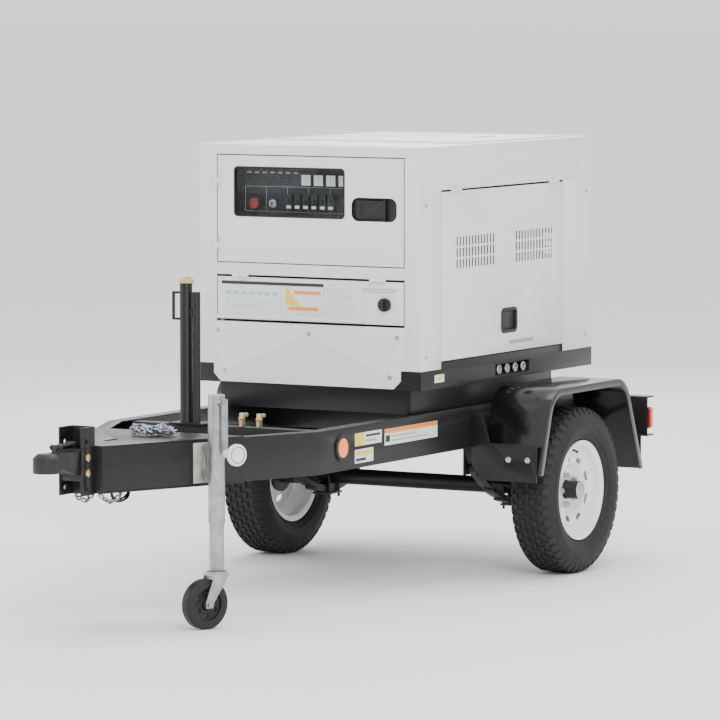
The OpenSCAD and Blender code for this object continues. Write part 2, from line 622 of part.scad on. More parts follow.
module side_hinge_posts() color("#26272a") for (y = side_hinge_ys)
  translate([half_w + hinge_out, y, band_z - 2]) rotate([-90, 0, 0]) {
    hinge_fixed(hinge_l);
    for (k = [0, 0.7]) translate([-hinge_out, -barrel_r - 14, hinge_l * k]) cube([skin, 14 + barrel_r / 2, hinge_l * 0.3]);
    for (k = [0, 0.7]) translate([-hinge_out, -barrel_r, hinge_l * k]) cube([hinge_out, skin, hinge_l * 0.3]);
  }
module side_door_right() side_door();
module side_door_left() left_side() side_door();
module side_latch() color("#1b1c1e") {
  block([half_w - 9, slatch_y + 14, slatch_z + 14], [half_w - 4, slatch_y + slatch_w - 14, slatch_z + slatch_h - 14]);
  at_y(half_w - 8, slatch_y + 6 + face_gap, slatch_z + slatch_h - 16) cylinder(r = 4.5, h = slatch_w - 12 - 2 * face_gap);
}
module side_latch_right() side_latch();
module side_latch_left() left_side() side_latch();

// ---------- engine and generator ----------
eng_y0 = box_y + 540;
eng_l = 430;
module engine() {
  color("#5d6468") {
    block([-130, eng_y0, deck + 70], [130, eng_y0 + eng_l, deck + 360]);
    block([-95, eng_y0 + 20, deck + 360], [110, eng_y0 + eng_l - 20, deck + 450]);
    block([-60, eng_y0 + 40, deck + 450], [70, eng_y0 + eng_l - 40, deck + 490]);
    block([-105, eng_y0 + 30, deck + 18], [105, eng_y0 + eng_l - 60, deck + 70]);
    at_y(0, eng_y0 - 50, crank_axis_z) cylinder(r = 175, h = 50);
  }
  color("#26272a") {
    at_y(0, eng_y0 + eng_l, crank_axis_z) cylinder(r = 62, h = 34);
    both_sides() for (y = [60, eng_l - 90]) block([130, eng_y0 + y, deck], [215, eng_y0 + y + 60, deck + 110]);
    at_y(170, eng_y0 + 110, deck + 210) cylinder(r = 42, h = 110);
    block([130, eng_y0 + 140, deck + 200], [140, eng_y0 + 190, deck + 220]);
  }
  color("#8a8d90") at_y(0, eng_y0 + eng_l, fan_z) cylinder(r = 10, h = rad_y - 30 - eng_y0 - eng_l);
}
module alternator() color("#4c5358") {
  at_y(0, eng_y0 - 340, crank_axis_z) cylinder(r = 160, h = 290 - face_gap);
  for (y = [eng_y0 - 320, eng_y0 - 120]) block([-150, y, deck], [150, y + 50, deck + 90]);
  block([-110, eng_y0 - 300, crank_axis_z + 120], [110, eng_y0 - 120, crank_axis_z + 220]);
}
rad_y = box_end - 140;
module radiator() color("#26272a") {
  block([-300, rad_y, deck + 60], [300, rad_y + 50, deck + 560]);
  block([-300, rad_y, deck + 560], [300, rad_y + 50, deck + 610]);
  translate([-180, rad_y + 25, deck + 610]) cylinder(r = 20, h = 18);
  for (x = [-250, 250]) block([x - 25, rad_y, deck], [x + 25, rad_y + 50, deck + 60]);
  at_y(0, rad_y - 60, fan_z) tube(205, 6, 60);
}
module fan() color("#d8b52f") {
  at_y(0, rad_y - 50, fan_z) difference() {
    cylinder(r = 48, h = 30);
    translate([0, 0, -1]) cylinder(r = 10 + fit_gap, h = 24);
  }
  for (i = [0:6]) at_y(0, rad_y - 50, fan_z) rotate([0, 0, i * 360 / 7])
    translate([40, 0, 15]) rotate([28, 0, 0]) translate([0, -34, -2]) cube([150, 68, 4]);
}
module muffler() color("#6a5f58") {
  at_y(200, box_y + 640, deck + 560) cylinder(r = 62, h = 300);
  at_y(200, box_y + 940, deck + 560) cylinder(r = 26, h = 56);
  translate([200, box_y + 970, deck + 560]) cylinder(r = 26, h = roof_z - deck - 560 + 2);
  block([110, box_y + 700, deck + 400], [205, box_y + 720, deck + 500.5]);
  block([110, box_y + 700, deck + 400], [150, box_y + 760, deck + 450]);
}
module battery() {
  color("#1b1c1e") block([-400, box_y + 560, deck], [-240, box_y + 800, deck + 170]);
  color("#b9bcc0") for (y = [600, 760]) translate([-300, box_y + y, deck + 170]) cylinder(r = 9, h = 16);
}

// ---------- axle, springs, wheels ----------
module axle() color("#17181a") {
  at_x(-wheel_x + 100, axle_y, axle_z) cylinder(r = axle_r, h = 2 * wheel_x - 200);
  both_sides() at_x(wheel_x - 101, axle_y, axle_z) cylinder(r = spindle_r, h = 136);
  both_sides() block([spring_x - 25, axle_y - 14, axle_z - axle_r - 4], [spring_x + 25, axle_y + 14, axle_z - 18]);
}
function leaf_line(half, lift, z0, n) = [for (i = [-n:n]) [half * i / n, z0 + lift * pow(i / n, 2)]];
module leaf(half, lift, z0) rotate([90, 0, 90]) translate([0, 0, -spring_w / 2])
  linear_extrude(spring_w) polygon(concat(leaf_line(half, lift, z0, 12), rev(leaf_line(half, lift, z0 + leaf_t, 12))));
seat_z = axle_z - axle_r - 4.6;
leaf_gap = 0.8;
leaf_rise = eye_z - eye_r - seat_z + leaf_t + 1.5;
leaf_reach = [1, 0.66, 0.4];
stack_z = seat_z - 3 * leaf_t - 2 * leaf_gap;
module leaf_spring() difference() {
  translate([spring_x, axle_y, 0]) {
    for (i = [0:2]) leaf(spring_half * leaf_reach[i], leaf_rise * pow(leaf_reach[i], 2),
      seat_z - (i + 1) * leaf_t - i * leaf_gap);
    for (s = [-1, 1]) at_x(-spring_w / 2, s * spring_half, eye_z) cylinder(r = eye_r, h = spring_w);
    translate([0, 0, stack_z + 1]) cylinder(r = 5, h = seat_z - stack_z - 2);
  }
  for (s = [-1, 1]) at_x(spring_x - 40, axle_y + s * spring_half, eye_z) cylinder(r = bolt_r + fit_gap, h = 80);
}
module leaf_springs() color("#1d1e20") both_sides() leaf_spring();
module spring_hangers() color("#17181a") both_sides() for (s = [-1, 1]) translate([spring_x, axle_y + s * spring_half, 0]) {
  for (x = [-1, 1]) translate([x * (spring_w / 2 + 3.5) - 2.5, -32, eye_z - 24]) cube([5, 64, frame_low - eye_z + 24]);
  at_x(-spring_w / 2 - 10, 0, eye_z) cylinder(r = bolt_r, h = spring_w + 20);
  at_x(spring_w / 2 + 6, 0, eye_z) hex(14, 8);
  block([-spring_w / 2 - 1, -32, frame_low - 8], [spring_w / 2 + 1, 32, frame_low]);
}

disc_x = wheel_x;
stud_r = 6.35;
module hub() color("#1b1c1e") {
  difference() {
    union() {
      at_x(disc_x - 80, axle_y, axle_z) cylinder(r = 38, h = 80);
      at_x(disc_x - 12, axle_y, axle_z) cylinder(r = 72, h = 12);
      at_x(disc_x, axle_y, axle_z) cylinder(r = 33, h = 62);
    }
    at_x(disc_x - 100, axle_y, axle_z) cylinder(r = spindle_r + fit_gap, h = 136);
  }
  for (i = [0:4]) translate([disc_x, axle_y, axle_z]) rotate([i * 72 + 18, 0, 0]) translate([0, 0, stud_pcd / 2]) {
    at_x(0, 0, 0) cylinder(r = stud_r, h = 26);
    at_x(4, 0, 0) hex(11, 17);
  }
}
module hub_right() hub();
module hub_left() left_side() hub();

flange_r = rim_d / 2 + 18;
bead_r = rim_d / 2;
module rim() color("#f0f0ee") translate([disc_x, axle_y, axle_z]) difference() {
  rotate([0, 90, 0]) rotate_extrude() polygon([
    [flange_r, -65], [flange_r, -60], [bead_r + 3, -56], [bead_r, -52], [bead_r, -30], [142, -20], [142, 18], [bead_r, 28],
    [bead_r, 52], [bead_r + 3, 56], [flange_r, 60], [flange_r, 65], [flange_r - 5, 65], [bead_r - 1, 59], [bead_r - 4, 52],
    [bead_r - 4, 31], [138.6, 20.5], [118, 34], [100, 30], [78, 4], [36, 4], [36, 0], [78, 0], [101, 25], [118, 29],
    [138, 15], [138, -18], [bead_r - 4, -32], [bead_r - 4, -52], [bead_r - 1, -59], [flange_r - 5, -65]]);
  for (i = [0:4]) rotate([i * 72 + 18, 0, 0]) translate([-5, 0, stud_pcd / 2]) rotate([0, 90, 0]) cylinder(r = stud_r + 0.8, h = 20);
  for (i = [0:7]) rotate([i * 45 + 22.5, 0, 0]) translate([5, 0, 111]) {
    for (s = [-11, 11]) translate([0, s, 0]) rotate([0, 90, 0]) cylinder(r = 10, h = 40);
    translate([0, -11, -10]) cube([40, 22, 20]);
  }
}
module rim_right() rim();
module rim_left() left_side() rim();

half_t = tyre_w / 2;
module tyre() color("#1c1c1d") translate([disc_x, axle_y, axle_z]) rotate([0, 90, 0]) rotate_extrude() polygon([
  [bead_r + 0.3, -50], [flange_r + 0.4, -55], [flange_r + 5, -64], [210, -half_t + 9], [243, -half_t], [272, -half_t + 4],
  [axle_z - 11, -half_t + 15], [axle_z - 2, -half_t + 27], [axle_z, -half_t + 42], [axle_z, half_t - 42],
  [axle_z - 2, half_t - 27], [axle_z - 11, half_t - 15], [272, half_t - 4], [243, half_t], [210, half_t - 9],
  [flange_r + 5, 64], [flange_r + 0.4, 55], [bead_r + 0.3, 50]]);
module tyre_right() tyre();
module tyre_left() left_side() tyre();

// ---------- fenders ----------
fender_t = 4;
arch_r = 110;
arch_front = [-205, fender_top - arch_r];
arch_rear = [240, fender_top - arch_r];
front_slope = 163;
rear_slope = 22;
front_foot = 391;
rear_foot = 345;
function slope_foot(c, r, a, z) = let (p = c + r * [cos(a), sin(a)]) [p[0] - (z - p[1]) * tan(a), z];
function fender_line(t) = concat([slope_foot(arch_front, arch_r - t, front_slope, front_foot)],
  arc(arch_front, arch_r - t, front_slope, 90, 10), arc(arch_rear, arch_r - t, 90, rear_slope, 10),
  [slope_foot(arch_rear, arch_r - t, rear_slope, rear_foot)]);
module fender_sheet(t, x0, x1) translate([x0, axle_y, 0]) rotate([90, 0, 90]) linear_extrude(x1 - x0)
  polygon(concat(fender_line(0), rev(fender_line(t))));
module fender() color("#141517") {
  fender_sheet(fender_t, fender_out - fender_w, fender_out);
  fender_sheet(26, fender_out - fender_t, fender_out);
}
module fender_right() fender();
module fender_left() left_side() fender();
front_plate_y = axle_y + slope_foot(arch_front, arch_r, front_slope, front_foot)[0] - plate_t - 0.4;
rear_plate_y = axle_y + slope_foot(arch_rear, arch_r, rear_slope, rear_foot)[0] + 0.4;
fender_bolts = [[577, front_plate_y, 447], [655, front_plate_y, 448], [640, rear_plate_y, 440]];
module fender_brackets() color("#17181a") both_sides() {
  difference() {
    translate([0, front_plate_y + plate_t, 0]) rotate([90, 0, 0]) linear_extrude(plate_t) polygon([
      [rail_half, 420], [rail_half, 600], [rail_half + 45, 600], [500, 503], [690, 503], [690, 366], [470, 366]]);
    for (x = [577, 655]) at_y(x, front_plate_y - 2, x < 600 ? 447 : 448) cylinder(r = 7.5, h = 20);
  }
  difference() {
    translate([0, rear_plate_y + plate_t, 0]) rotate([90, 0, 0]) linear_extrude(plate_t) polygon([
      [rail_half, 420], [rail_half, 600], [rail_half + 45, 600], [500, 470], [690, 470], [690, 345], [470, 345]]);
    at_y(640, rear_plate_y - 2, 440) cylinder(r = 7.5, h = 20);
  }
}

// ---------- jack ----------
module jack_frame() on_leg(jack_run, jack_off) children();
module jack_bracket() color("#b4b19f") jack_frame() {
  block([-jack_off, -62, frame_low + 6], [-jack_off + 6, 62, swivel_z + 66]);
  difference() {
    at_x(-jack_off + 6, 0, swivel_z) cylinder(r = 38, h = 9);
    at_x(-jack_off + 5, 0, swivel_z) cylinder(r = 22 + fit_gap, h = 20);
  }
}
module jack_outer() color("#c3c5c4") jack_frame() {
  difference() {
    union() {
      translate([0, 0, 357]) cylinder(r = jack_r, h = jack_top - 357);
      at_x(-jack_off + 6 + face_gap, 0, swivel_z) cylinder(r = 22, h = jack_off - 6 - face_gap);
      at_x(-jack_off + 15 + face_gap, 0, swivel_z) cylinder(r = 36, h = 10);
      block([-jack_r - 3, -30, swivel_z - 60], [-12, 30, swivel_z + 60]);
      at_x(20, 0, crank_z) cylinder(r = 16, h = 22);
    }
    translate([0, 0, 350]) cylinder(r = inner_r + fit_gap, h = jack_top - 356);
    at_x(0, 0, crank_z) cylinder(r = 8 + fit_gap, h = 60);
  }
}
jack_foot = 194;
kingpin_r = 8;
module jack_inner() color("#b9bbba") jack_frame() translate([0, 0, jack_foot]) difference() {
  cylinder(r = inner_r, h = 406);
  translate([0, 0, 8]) cylinder(r = inner_r - 4, h = 400);
  translate([0, 0, -1]) cylinder(r = kingpin_r + fit_gap, h = 20);
}
module jack_crank() color("#c3c5c4") jack_frame() {
  at_x(12, 0, crank_z) cylinder(r = 8, h = 44);
  block([jack_r + 15, -11, crank_z - crank_l], [jack_r + 23, 11, crank_z + 12]);
  at_x(jack_r + 15, 0, crank_z - crank_l) cylinder(r = 11, h = 8);
  at_x(jack_r + 20, 0, crank_z - crank_l) cylinder(r = 6, h = 72);
}
module crank_grip() color("#e6e4dc") jack_frame() difference() {
  union() {
    at_x(jack_r + 23 + face_gap, 0, crank_z - crank_l) cylinder(r = 14, h = 60);
    at_x(jack_r + 80, 0, crank_z - crank_l) cylinder(r = 37, h = 14);
  }
  at_x(jack_r + 22, 0, crank_z - crank_l) cylinder(r = 6 + fit_gap, h = 70.5);
}
module caster_fork() color("#b9bbba") jack_frame() {
  translate([0, 0, jack_foot - face_gap - 8]) cylinder(r = 36, h = 8);
  translate([0, 0, jack_foot - 4]) cylinder(r = kingpin_r, h = 13);
  translate([0, 0, jack_foot + 8 + face_gap]) cylinder(r = 14, h = 5);
  for (s = [-1, 1]) translate([s * 28 - 2, 0, 0]) rotate([90, 0, 90]) linear_extrude(4) polygon([
    [34, 186], [-30, 186], [-caster_trail - 16, caster_z + 6], [-caster_trail - 14, caster_z - 12],
    [-caster_trail + 14, caster_z - 12], [-caster_trail + 18, caster_z + 6]]);
  block([-30, -34, 180], [30, 34, 186]);
  at_x(-36, -caster_trail, caster_z) cylinder(r = 6, h = 72);
  for (x = [-38, 30]) at_x(x, -caster_trail, caster_z) hex(11, 8);
}
module caster_wheel() color("#1c1c1d") jack_frame() translate([0, -caster_trail, caster_z]) difference() {
  rotate([0, 90, 0]) rotate_extrude() polygon([
    [6 + fit_gap, -25], [20, -25], [22, -12], [52, -12], [54, -22], [caster_z - 6, -22], [caster_z, -14],
    [caster_z, 14], [caster_z - 6, 22], [54, 22], [52, 12], [22, 12], [20, 25], [6 + fit_gap, 25]]);
  for (i = [0:5]) rotate([i * 60, 0, 0]) translate([-30, 0, 38]) rotate([0, 90, 0]) cylinder(r = 8, h = 60);
}
rail_right();
rail_left();
crossmembers();
tongue_box();
coupler_channel();
coupler_body();
frame_bolts();
safety_chain();
wiring_harness();
jack_bracket();
filler_neck();
fuel_tank();
base_skid();
front_post_right();
front_post_left();
front_midrail();
control_panel();
terminal_board();
cable_panel();
roof_cover();
rear_panel();
engine();
alternator();
radiator();
muffler();
battery();
axle();
leaf_springs();
spring_hangers();
fender_right();
fender_left();
fender_brackets();
rear_beam();
lamps();
coupler_latch();
jack_outer();
jack_inner();
jack_crank();
crank_grip();
caster_fork();
caster_wheel();
filler_cap();
control_door();
door_window();
door_latch();
key_switch();
stop_button();
output_flap();
flap_knob();
side_door_right();
side_door_left();
side_latch_right();
side_latch_left();
fan();
hub_right();
hub_left();
rim_right();
rim_left();
tyre_right();
tyre_left();
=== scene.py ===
import bpy
import bmesh
import json
import math
from mathutils import Vector, Matrix


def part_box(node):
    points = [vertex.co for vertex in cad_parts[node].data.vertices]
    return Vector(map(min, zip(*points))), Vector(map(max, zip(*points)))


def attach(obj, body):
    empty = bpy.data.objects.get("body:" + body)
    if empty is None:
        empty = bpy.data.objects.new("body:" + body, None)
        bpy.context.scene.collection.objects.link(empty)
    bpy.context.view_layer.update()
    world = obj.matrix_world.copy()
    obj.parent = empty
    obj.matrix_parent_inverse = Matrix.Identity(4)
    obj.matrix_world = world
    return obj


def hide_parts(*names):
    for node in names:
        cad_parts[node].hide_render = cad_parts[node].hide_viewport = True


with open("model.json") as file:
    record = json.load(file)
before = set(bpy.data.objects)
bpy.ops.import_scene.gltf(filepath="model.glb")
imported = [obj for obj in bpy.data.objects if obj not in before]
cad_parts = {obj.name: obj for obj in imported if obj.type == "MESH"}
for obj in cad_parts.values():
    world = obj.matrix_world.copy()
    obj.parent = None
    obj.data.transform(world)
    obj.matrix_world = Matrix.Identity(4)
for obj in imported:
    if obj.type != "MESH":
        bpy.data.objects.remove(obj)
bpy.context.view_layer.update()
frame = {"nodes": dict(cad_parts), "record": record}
scene = bpy.context.scene
print("frame loaded:", len(frame["nodes"]), "nodes")

# camera, floor and lights
camera = dict(place=(8.97, -15.28, 2.28), pitch=4.69, roll=0.0, yaw=29.57, lens=250, shiftX=0.0, shiftY=0.0)
lights = [
    dict(name="keyPanel", place=(5.5, -6.0, 6.0), size=4.0, power=430, aim=(0.2, 0, 0.8)),
    dict(name="fillPanel", place=(-6.5, -5.0, 3.6), size=5.0, power=130, aim=(0, 0, 0.8)),
    dict(name="topPanel", place=(0.0, 1.5, 6.5), size=5.0, power=230, aim=(0, 0, 0.6)),
    dict(name="rearPanel", place=(-3.0, 7.0, 4.5), size=4.0, power=170, aim=(0, 0, 0.8)),
]
surround = dict(colour=(1.0, 1.0, 1.0, 1.0), strength=1.35)
floorPlane = dict(half=120.0, colour=(0.95, 0.95, 0.95, 1.0), roughness=0.8)


def makeCamera(values):
    data = bpy.data.cameras.new("studioCamera")
    data.lens = values["lens"]
    data.sensor_width = 36
    data.clip_end = 500
    data.shift_x = values["shiftX"]
    data.shift_y = values["shiftY"]
    cam = bpy.data.objects.new("studioCamera", data)
    scene.collection.objects.link(cam)
    cam.location = values["place"]
    angles = (90 - values["pitch"], values["roll"], values["yaw"])
    cam.rotation_euler = [math.radians(a) for a in angles]
    scene.camera = cam


def makeLight(values):
    data = bpy.data.lights.new(values["name"], "AREA")
    data.shape = "DISK"
    data.size = values["size"]
    data.energy = values["power"]
    lamp = bpy.data.objects.new(values["name"], data)
    scene.collection.objects.link(lamp)
    lamp.location = values["place"]
    aim = Vector(values["aim"]) - lamp.location
    lamp.rotation_euler = aim.to_track_quat("-Z", "Y").to_euler()


def makeSurround(values):
    world = bpy.data.worlds.new("studioWorld")
    world.use_nodes = True
    back = world.node_tree.nodes["Background"]
    back.inputs["Color"].default_value = values["colour"]
    back.inputs["Strength"].default_value = values["strength"]
    scene.world = world


# small mesh helpers
def newObject(name, mesh):
    made = bpy.data.objects.new(name, mesh)
    scene.collection.objects.link(made)
    return made


def meshFrom(bm, name):
    mesh = bpy.data.meshes.new(name)
    bm.to_mesh(mesh)
    bm.free()
    return mesh


def addBlock(bm, lo, hi, slot=0):
    centre = [(a + b) / 2 for a, b in zip(lo, hi)]
    size = [b - a for a, b in zip(lo, hi)]
    made = bmesh.ops.create_cube(bm, size=1, matrix=Matrix.Translation(centre) @ Matrix.Diagonal((*size, 1)))
    for face in {f for v in made["verts"] for f in v.link_faces}:
        face.material_index = slot


def axisTurn(axis):
    # turns +Z onto the named axis
    return Vector(axis).to_track_quat("Z", "Y").to_matrix().to_4x4()


def addLathe(bm, profile, place=(0, 0, 0), axis=(0, 0, 1), steps=48, slot=0):
    # profile is (radius, height) pairs; a radius of 0 closes a pole
    turn = Matrix.Translation(place) @ axisTurn(axis)
    rings = []
    for radius, height in profile:
        if radius < 1e-7:
            rings.append([bm.verts.new(turn @ Vector((0, 0, height)))])
            continue
        ring = [bm.verts.new(turn @ Vector((radius * math.cos(2 * math.pi * k / steps),
                                            radius * math.sin(2 * math.pi * k / steps), height)))
                for k in range(steps)]
        rings.append(ring)
    made = []
    for low, high in zip(rings, rings[1:]):
        for k in range(steps):
            n = (k + 1) % steps
            if len(low) == 1 and len(high) == 1:
                continue
            if len(low) == 1:
                made.append(bm.faces.new((low[0], high[n], high[k])))
            elif len(high) == 1:
                made.append(bm.faces.new((low[k], low[n], high[0])))
            else:
                made.append(bm.faces.new((low[k], low[n], high[n], high[k])))
    for face in made:
        face.material_index = slot
    return made


def fixNormals(bm):
    bmesh.ops.recalc_face_normals(bm, faces=bm.faces)


def smoothByAngle(mesh, degrees=32):
    mesh.polygons.foreach_set("use_smooth", [True] * len(mesh.polygons))
    mesh.set_sharp_from_angle(angle=math.radians(degrees))


def bakeModifiers(thing):
    graph = bpy.context.evaluated_depsgraph_get()
    graph.update()
    mesh = bpy.data.meshes.new_from_object(thing.evaluated_get(graph), depsgraph=graph)
    old = thing.data
    thing.modifiers.clear()
    thing.data = mesh
    if isinstance(old, bpy.types.Mesh):
        bpy.data.meshes.remove(old)
    return thing


def softenEdges(thing, width, segments=2, limit=28):
    bevel = thing.modifiers.new("edgeRound", "BEVEL")
    bevel.width = width
    bevel.segments = segments
    bevel.limit_method = "ANGLE"
    bevel.angle_limit = math.radians(limit)
    bevel.use_clamp_overlap = True
    bevel.harden_normals = False
    return bakeModifiers(thing)


def addPiece(name, bm, body, materials, round=0.0, stands=(), angle=32):
    fixNormals(bm)
    thing = newObject(name, meshFrom(bm, name))
    if round > 0:
        softenEdges(thing, round)
    for mat in materials:
        thing.data.materials.append(mat)
    smoothByAngle(thing.data, angle)
    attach(thing, body)
    if stands:
        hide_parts(*stands)
    return thing


# shader groups
def openSocket(group, name, kind, side, value=None):
    made = group.interface.new_socket(name=name, in_out=side, socket_type=kind)
    if value is not None:
        made.default_value = value


def makeFinishGroup():
    # colour with mottling, worn edges and settled dust, plus roughness and a bump height
    group = bpy.data.node_groups.new("finishLayers", "ShaderNodeTree")
    for name, kind, value in [
        ("Vector", "NodeSocketVector", None), ("Base", "NodeSocketColor", (0.5, 0.5, 0.5, 1)),
        ("Second", "NodeSocketColor", (0.4, 0.4, 0.4, 1)), ("Mottle Scale", "NodeSocketFloat", 6.0),
        ("Mottle", "NodeSocketFloat", 0.3), ("Worn", "NodeSocketColor", (0.6, 0.6, 0.6, 1)),
        ("Wear", "NodeSocketFloat", 0.3), ("Dust Colour", "NodeSocketColor", (0.5, 0.46, 0.4, 1)),
        ("Dust", "NodeSocketFloat", 0.1), ("Roughness", "NodeSocketFloat", 0.4),
        ("Spread", "NodeSocketFloat", 0.1), ("Grain Scale", "NodeSocketFloat", 900.0),
    ]:
        openSocket(group, name, kind, "INPUT", value)
    openSocket(group, "Colour", "NodeSocketColor", "OUTPUT")
    openSocket(group, "Roughness", "NodeSocketFloat", "OUTPUT")
    openSocket(group, "Height", "NodeSocketFloat", "OUTPUT")
    nodes, links = group.nodes, group.links
    inside = nodes.new("NodeGroupInput")
    out = nodes.new("NodeGroupOutput")

    def noise(scaleFrom, scale, detail, rough=0.55):
        made = nodes.new("ShaderNodeTexNoise")
        made.inputs["Detail"].default_value = detail
        made.inputs["Roughness"].default_value = rough
        made.inputs["Scale"].default_value = scale
        links.new(inside.outputs["Vector"], made.inputs["Vector"])
        if scaleFrom:
            links.new(inside.outputs[scaleFrom], made.inputs["Scale"])
        return made.outputs["Fac"]

    def mathNode(kind, a, b):
        made = nodes.new("ShaderNodeMath")
        made.operation = kind
        made.use_clamp = kind in ("MULTIPLY", "ADD")
        for socket, value in zip(made.inputs, (a, b)):
            if isinstance(value, (int, float)):
                socket.default_value = value
            else:
                links.new(value, socket)
        return made.outputs[0]

    def stretch(value, low, high):
        made = nodes.new("ShaderNodeMapRange")
        made.inputs["From Min"].default_value = low
        made.inputs["From Max"].default_value = high
        links.new(value, made.inputs["Value"])
        return made.outputs["Result"]

    def mixColour(factor, a, b):
        made = nodes.new("ShaderNodeMix")
        made.data_type = "RGBA"
        links.new(factor, made.inputs["Factor"])
        links.new(a, made.inputs["A"])
        links.new(b, made.inputs["B"])
        return made.outputs["Result"]

    broad = noise("Mottle Scale", 6.0, 5.0)
    fine = noise(None, 60.0, 6.0, 0.7)
    grain = noise("Grain Scale", 900.0, 2.0)
    geometry = nodes.new("ShaderNodeNewGeometry")
    split = nodes.new("ShaderNodeSeparateXYZ")
    links.new(geometry.outputs["Normal"], split.inputs[0])
    mottled = mixColour(mathNode("MULTIPLY", stretch(broad, 0.35, 0.65), inside.outputs["Mottle"]),
                        inside.outputs["Base"], inside.outputs["Second"])
    edge = mathNode("MULTIPLY", stretch(geometry.outputs["Pointiness"], 0.53, 0.62),
                    stretch(fine, 0.38, 0.66))
    worn = mathNode("MULTIPLY", edge, inside.outputs["Wear"])
    wornColour = mixColour(worn, mottled, inside.outputs["Worn"])
    upward = stretch(split.outputs["Z"], 0.2, 1.0)
    settled = mathNode("ADD", mathNode("MULTIPLY", upward, 0.8), 0.12)
    dusty = mathNode("MULTIPLY", mathNode("MULTIPLY", settled, stretch(fine, 0.3, 0.75)),
                     inside.outputs["Dust"])
    final = mixColour(dusty, wornColour, inside.outputs["Dust Colour"])
    wobble = mathNode("MULTIPLY", stretch(fine, 0.3, 0.7), inside.outputs["Spread"])
    rough = mathNode("ADD", mathNode("ADD", inside.outputs["Roughness"], wobble),
                     mathNode("MULTIPLY", dusty, 0.6))
    links.new(final, out.inputs["Colour"])
    links.new(rough, out.inputs["Roughness"])
    links.new(grain, out.inputs["Height"])
    return group


def makeBrushGroup():
    # fine lines drawn out along one axis of the piece
    group = bpy.data.node_groups.new("drawnLines", "ShaderNodeTree")
    openSocket(group, "Vector", "NodeSocketVector", "INPUT")
    openSocket(group, "Across", "NodeSocketVector", "INPUT", (400.0, 400.0, 12.0))
    openSocket(group, "Mask", "NodeSocketFloat", "OUTPUT")
    nodes, links = group.nodes, group.links
    inside = nodes.new("NodeGroupInput")
    out = nodes.new("NodeGroupOutput")
    scaled = nodes.new("ShaderNodeVectorMath")
    scaled.operation = "MULTIPLY"
    links.new(inside.outputs["Vector"], scaled.inputs[0])
    links.new(inside.outputs["Across"], scaled.inputs[1])
    lines = nodes.new("ShaderNodeTexNoise")
    lines.inputs["Scale"].default_value = 1.0
    lines.inputs["Detail"].default_value = 4.0
    links.new(scaled.outputs[0], lines.inputs["Vector"])
    links.new(lines.outputs["Fac"], out.inputs["Mask"])
    return group


finishGroup = makeFinishGroup()
brushGroup = makeBrushGroup()


def makeFinish(name, base, second=None, mottle=0.3, mottleScale=6.0, worn=(0.55, 0.55, 0.55), wear=0.2,
               dust=0.06, roughness=0.4, spread=0.1, grainScale=900.0, bump=0.05, bumpDepth=0.0004,
               metallic=0.0, coat=0.0, lines=None, lineDepth=0.3, glass=0.0, emission=0.0,
               ior=1.5, shine=0.5):
    mat = bpy.data.materials.new(name)
    mat.use_nodes = True
    nodes, links = mat.node_tree.nodes, mat.node_tree.links
    surface = nodes["Principled BSDF"]
    coords = nodes.new("ShaderNodeTexCoord")
    layers = nodes.new("ShaderNodeGroup")
    layers.node_tree = finishGroup
    links.new(coords.outputs["Object"], layers.inputs["Vector"])
    second = second or [c * 0.86 for c in base]
    for socket, value in [("Base", (*base, 1)), ("Second", (*second, 1)), ("Mottle Scale", mottleScale),
                          ("Mottle", mottle), ("Worn", (*worn, 1)), ("Wear", wear), ("Dust", dust),
                          ("Roughness", roughness), ("Spread", spread), ("Grain Scale", grainScale)]:
        layers.inputs[socket].default_value = value
    links.new(layers.outputs["Colour"], surface.inputs["Base Color"])
    links.new(layers.outputs["Roughness"], surface.inputs["Roughness"])
    raised = nodes.new("ShaderNodeBump")
    raised.inputs["Strength"].default_value = bump
    raised.inputs["Distance"].default_value = bumpDepth
    links.new(layers.outputs["Height"], raised.inputs["Height"])
    links.new(raised.outputs["Normal"], surface.inputs["Normal"])
    if lines:
        drawn = nodes.new("ShaderNodeGroup")
        drawn.node_tree = brushGroup
        drawn.inputs["Across"].default_value = lines
        links.new(coords.outputs["Object"], drawn.inputs["Vector"])
        second = nodes.new("ShaderNodeBump")
        second.inputs["Strength"].default_value = lineDepth
        second.inputs["Distance"].default_value = 0.0003
        links.new(drawn.outputs["Mask"], second.inputs["Height"])
        links.new(raised.outputs["Normal"], second.inputs["Normal"])
        links.new(second.outputs["Normal"], surface.inputs["Normal"])
    surface.inputs["Metallic"].default_value = metallic
    surface.inputs["Coat Weight"].default_value = coat
    surface.inputs["Coat Roughness"].default_value = 0.06
    surface.inputs["IOR"].default_value = ior
    surface.inputs["Specular IOR Level"].default_value = shine
    if glass:
        surface.inputs["Transmission Weight"].default_value = glass
    if emission:
        surface.inputs["Emission Strength"].default_value = emission
        links.new(layers.outputs["Colour"], surface.inputs["Emission Color"])
    return mat


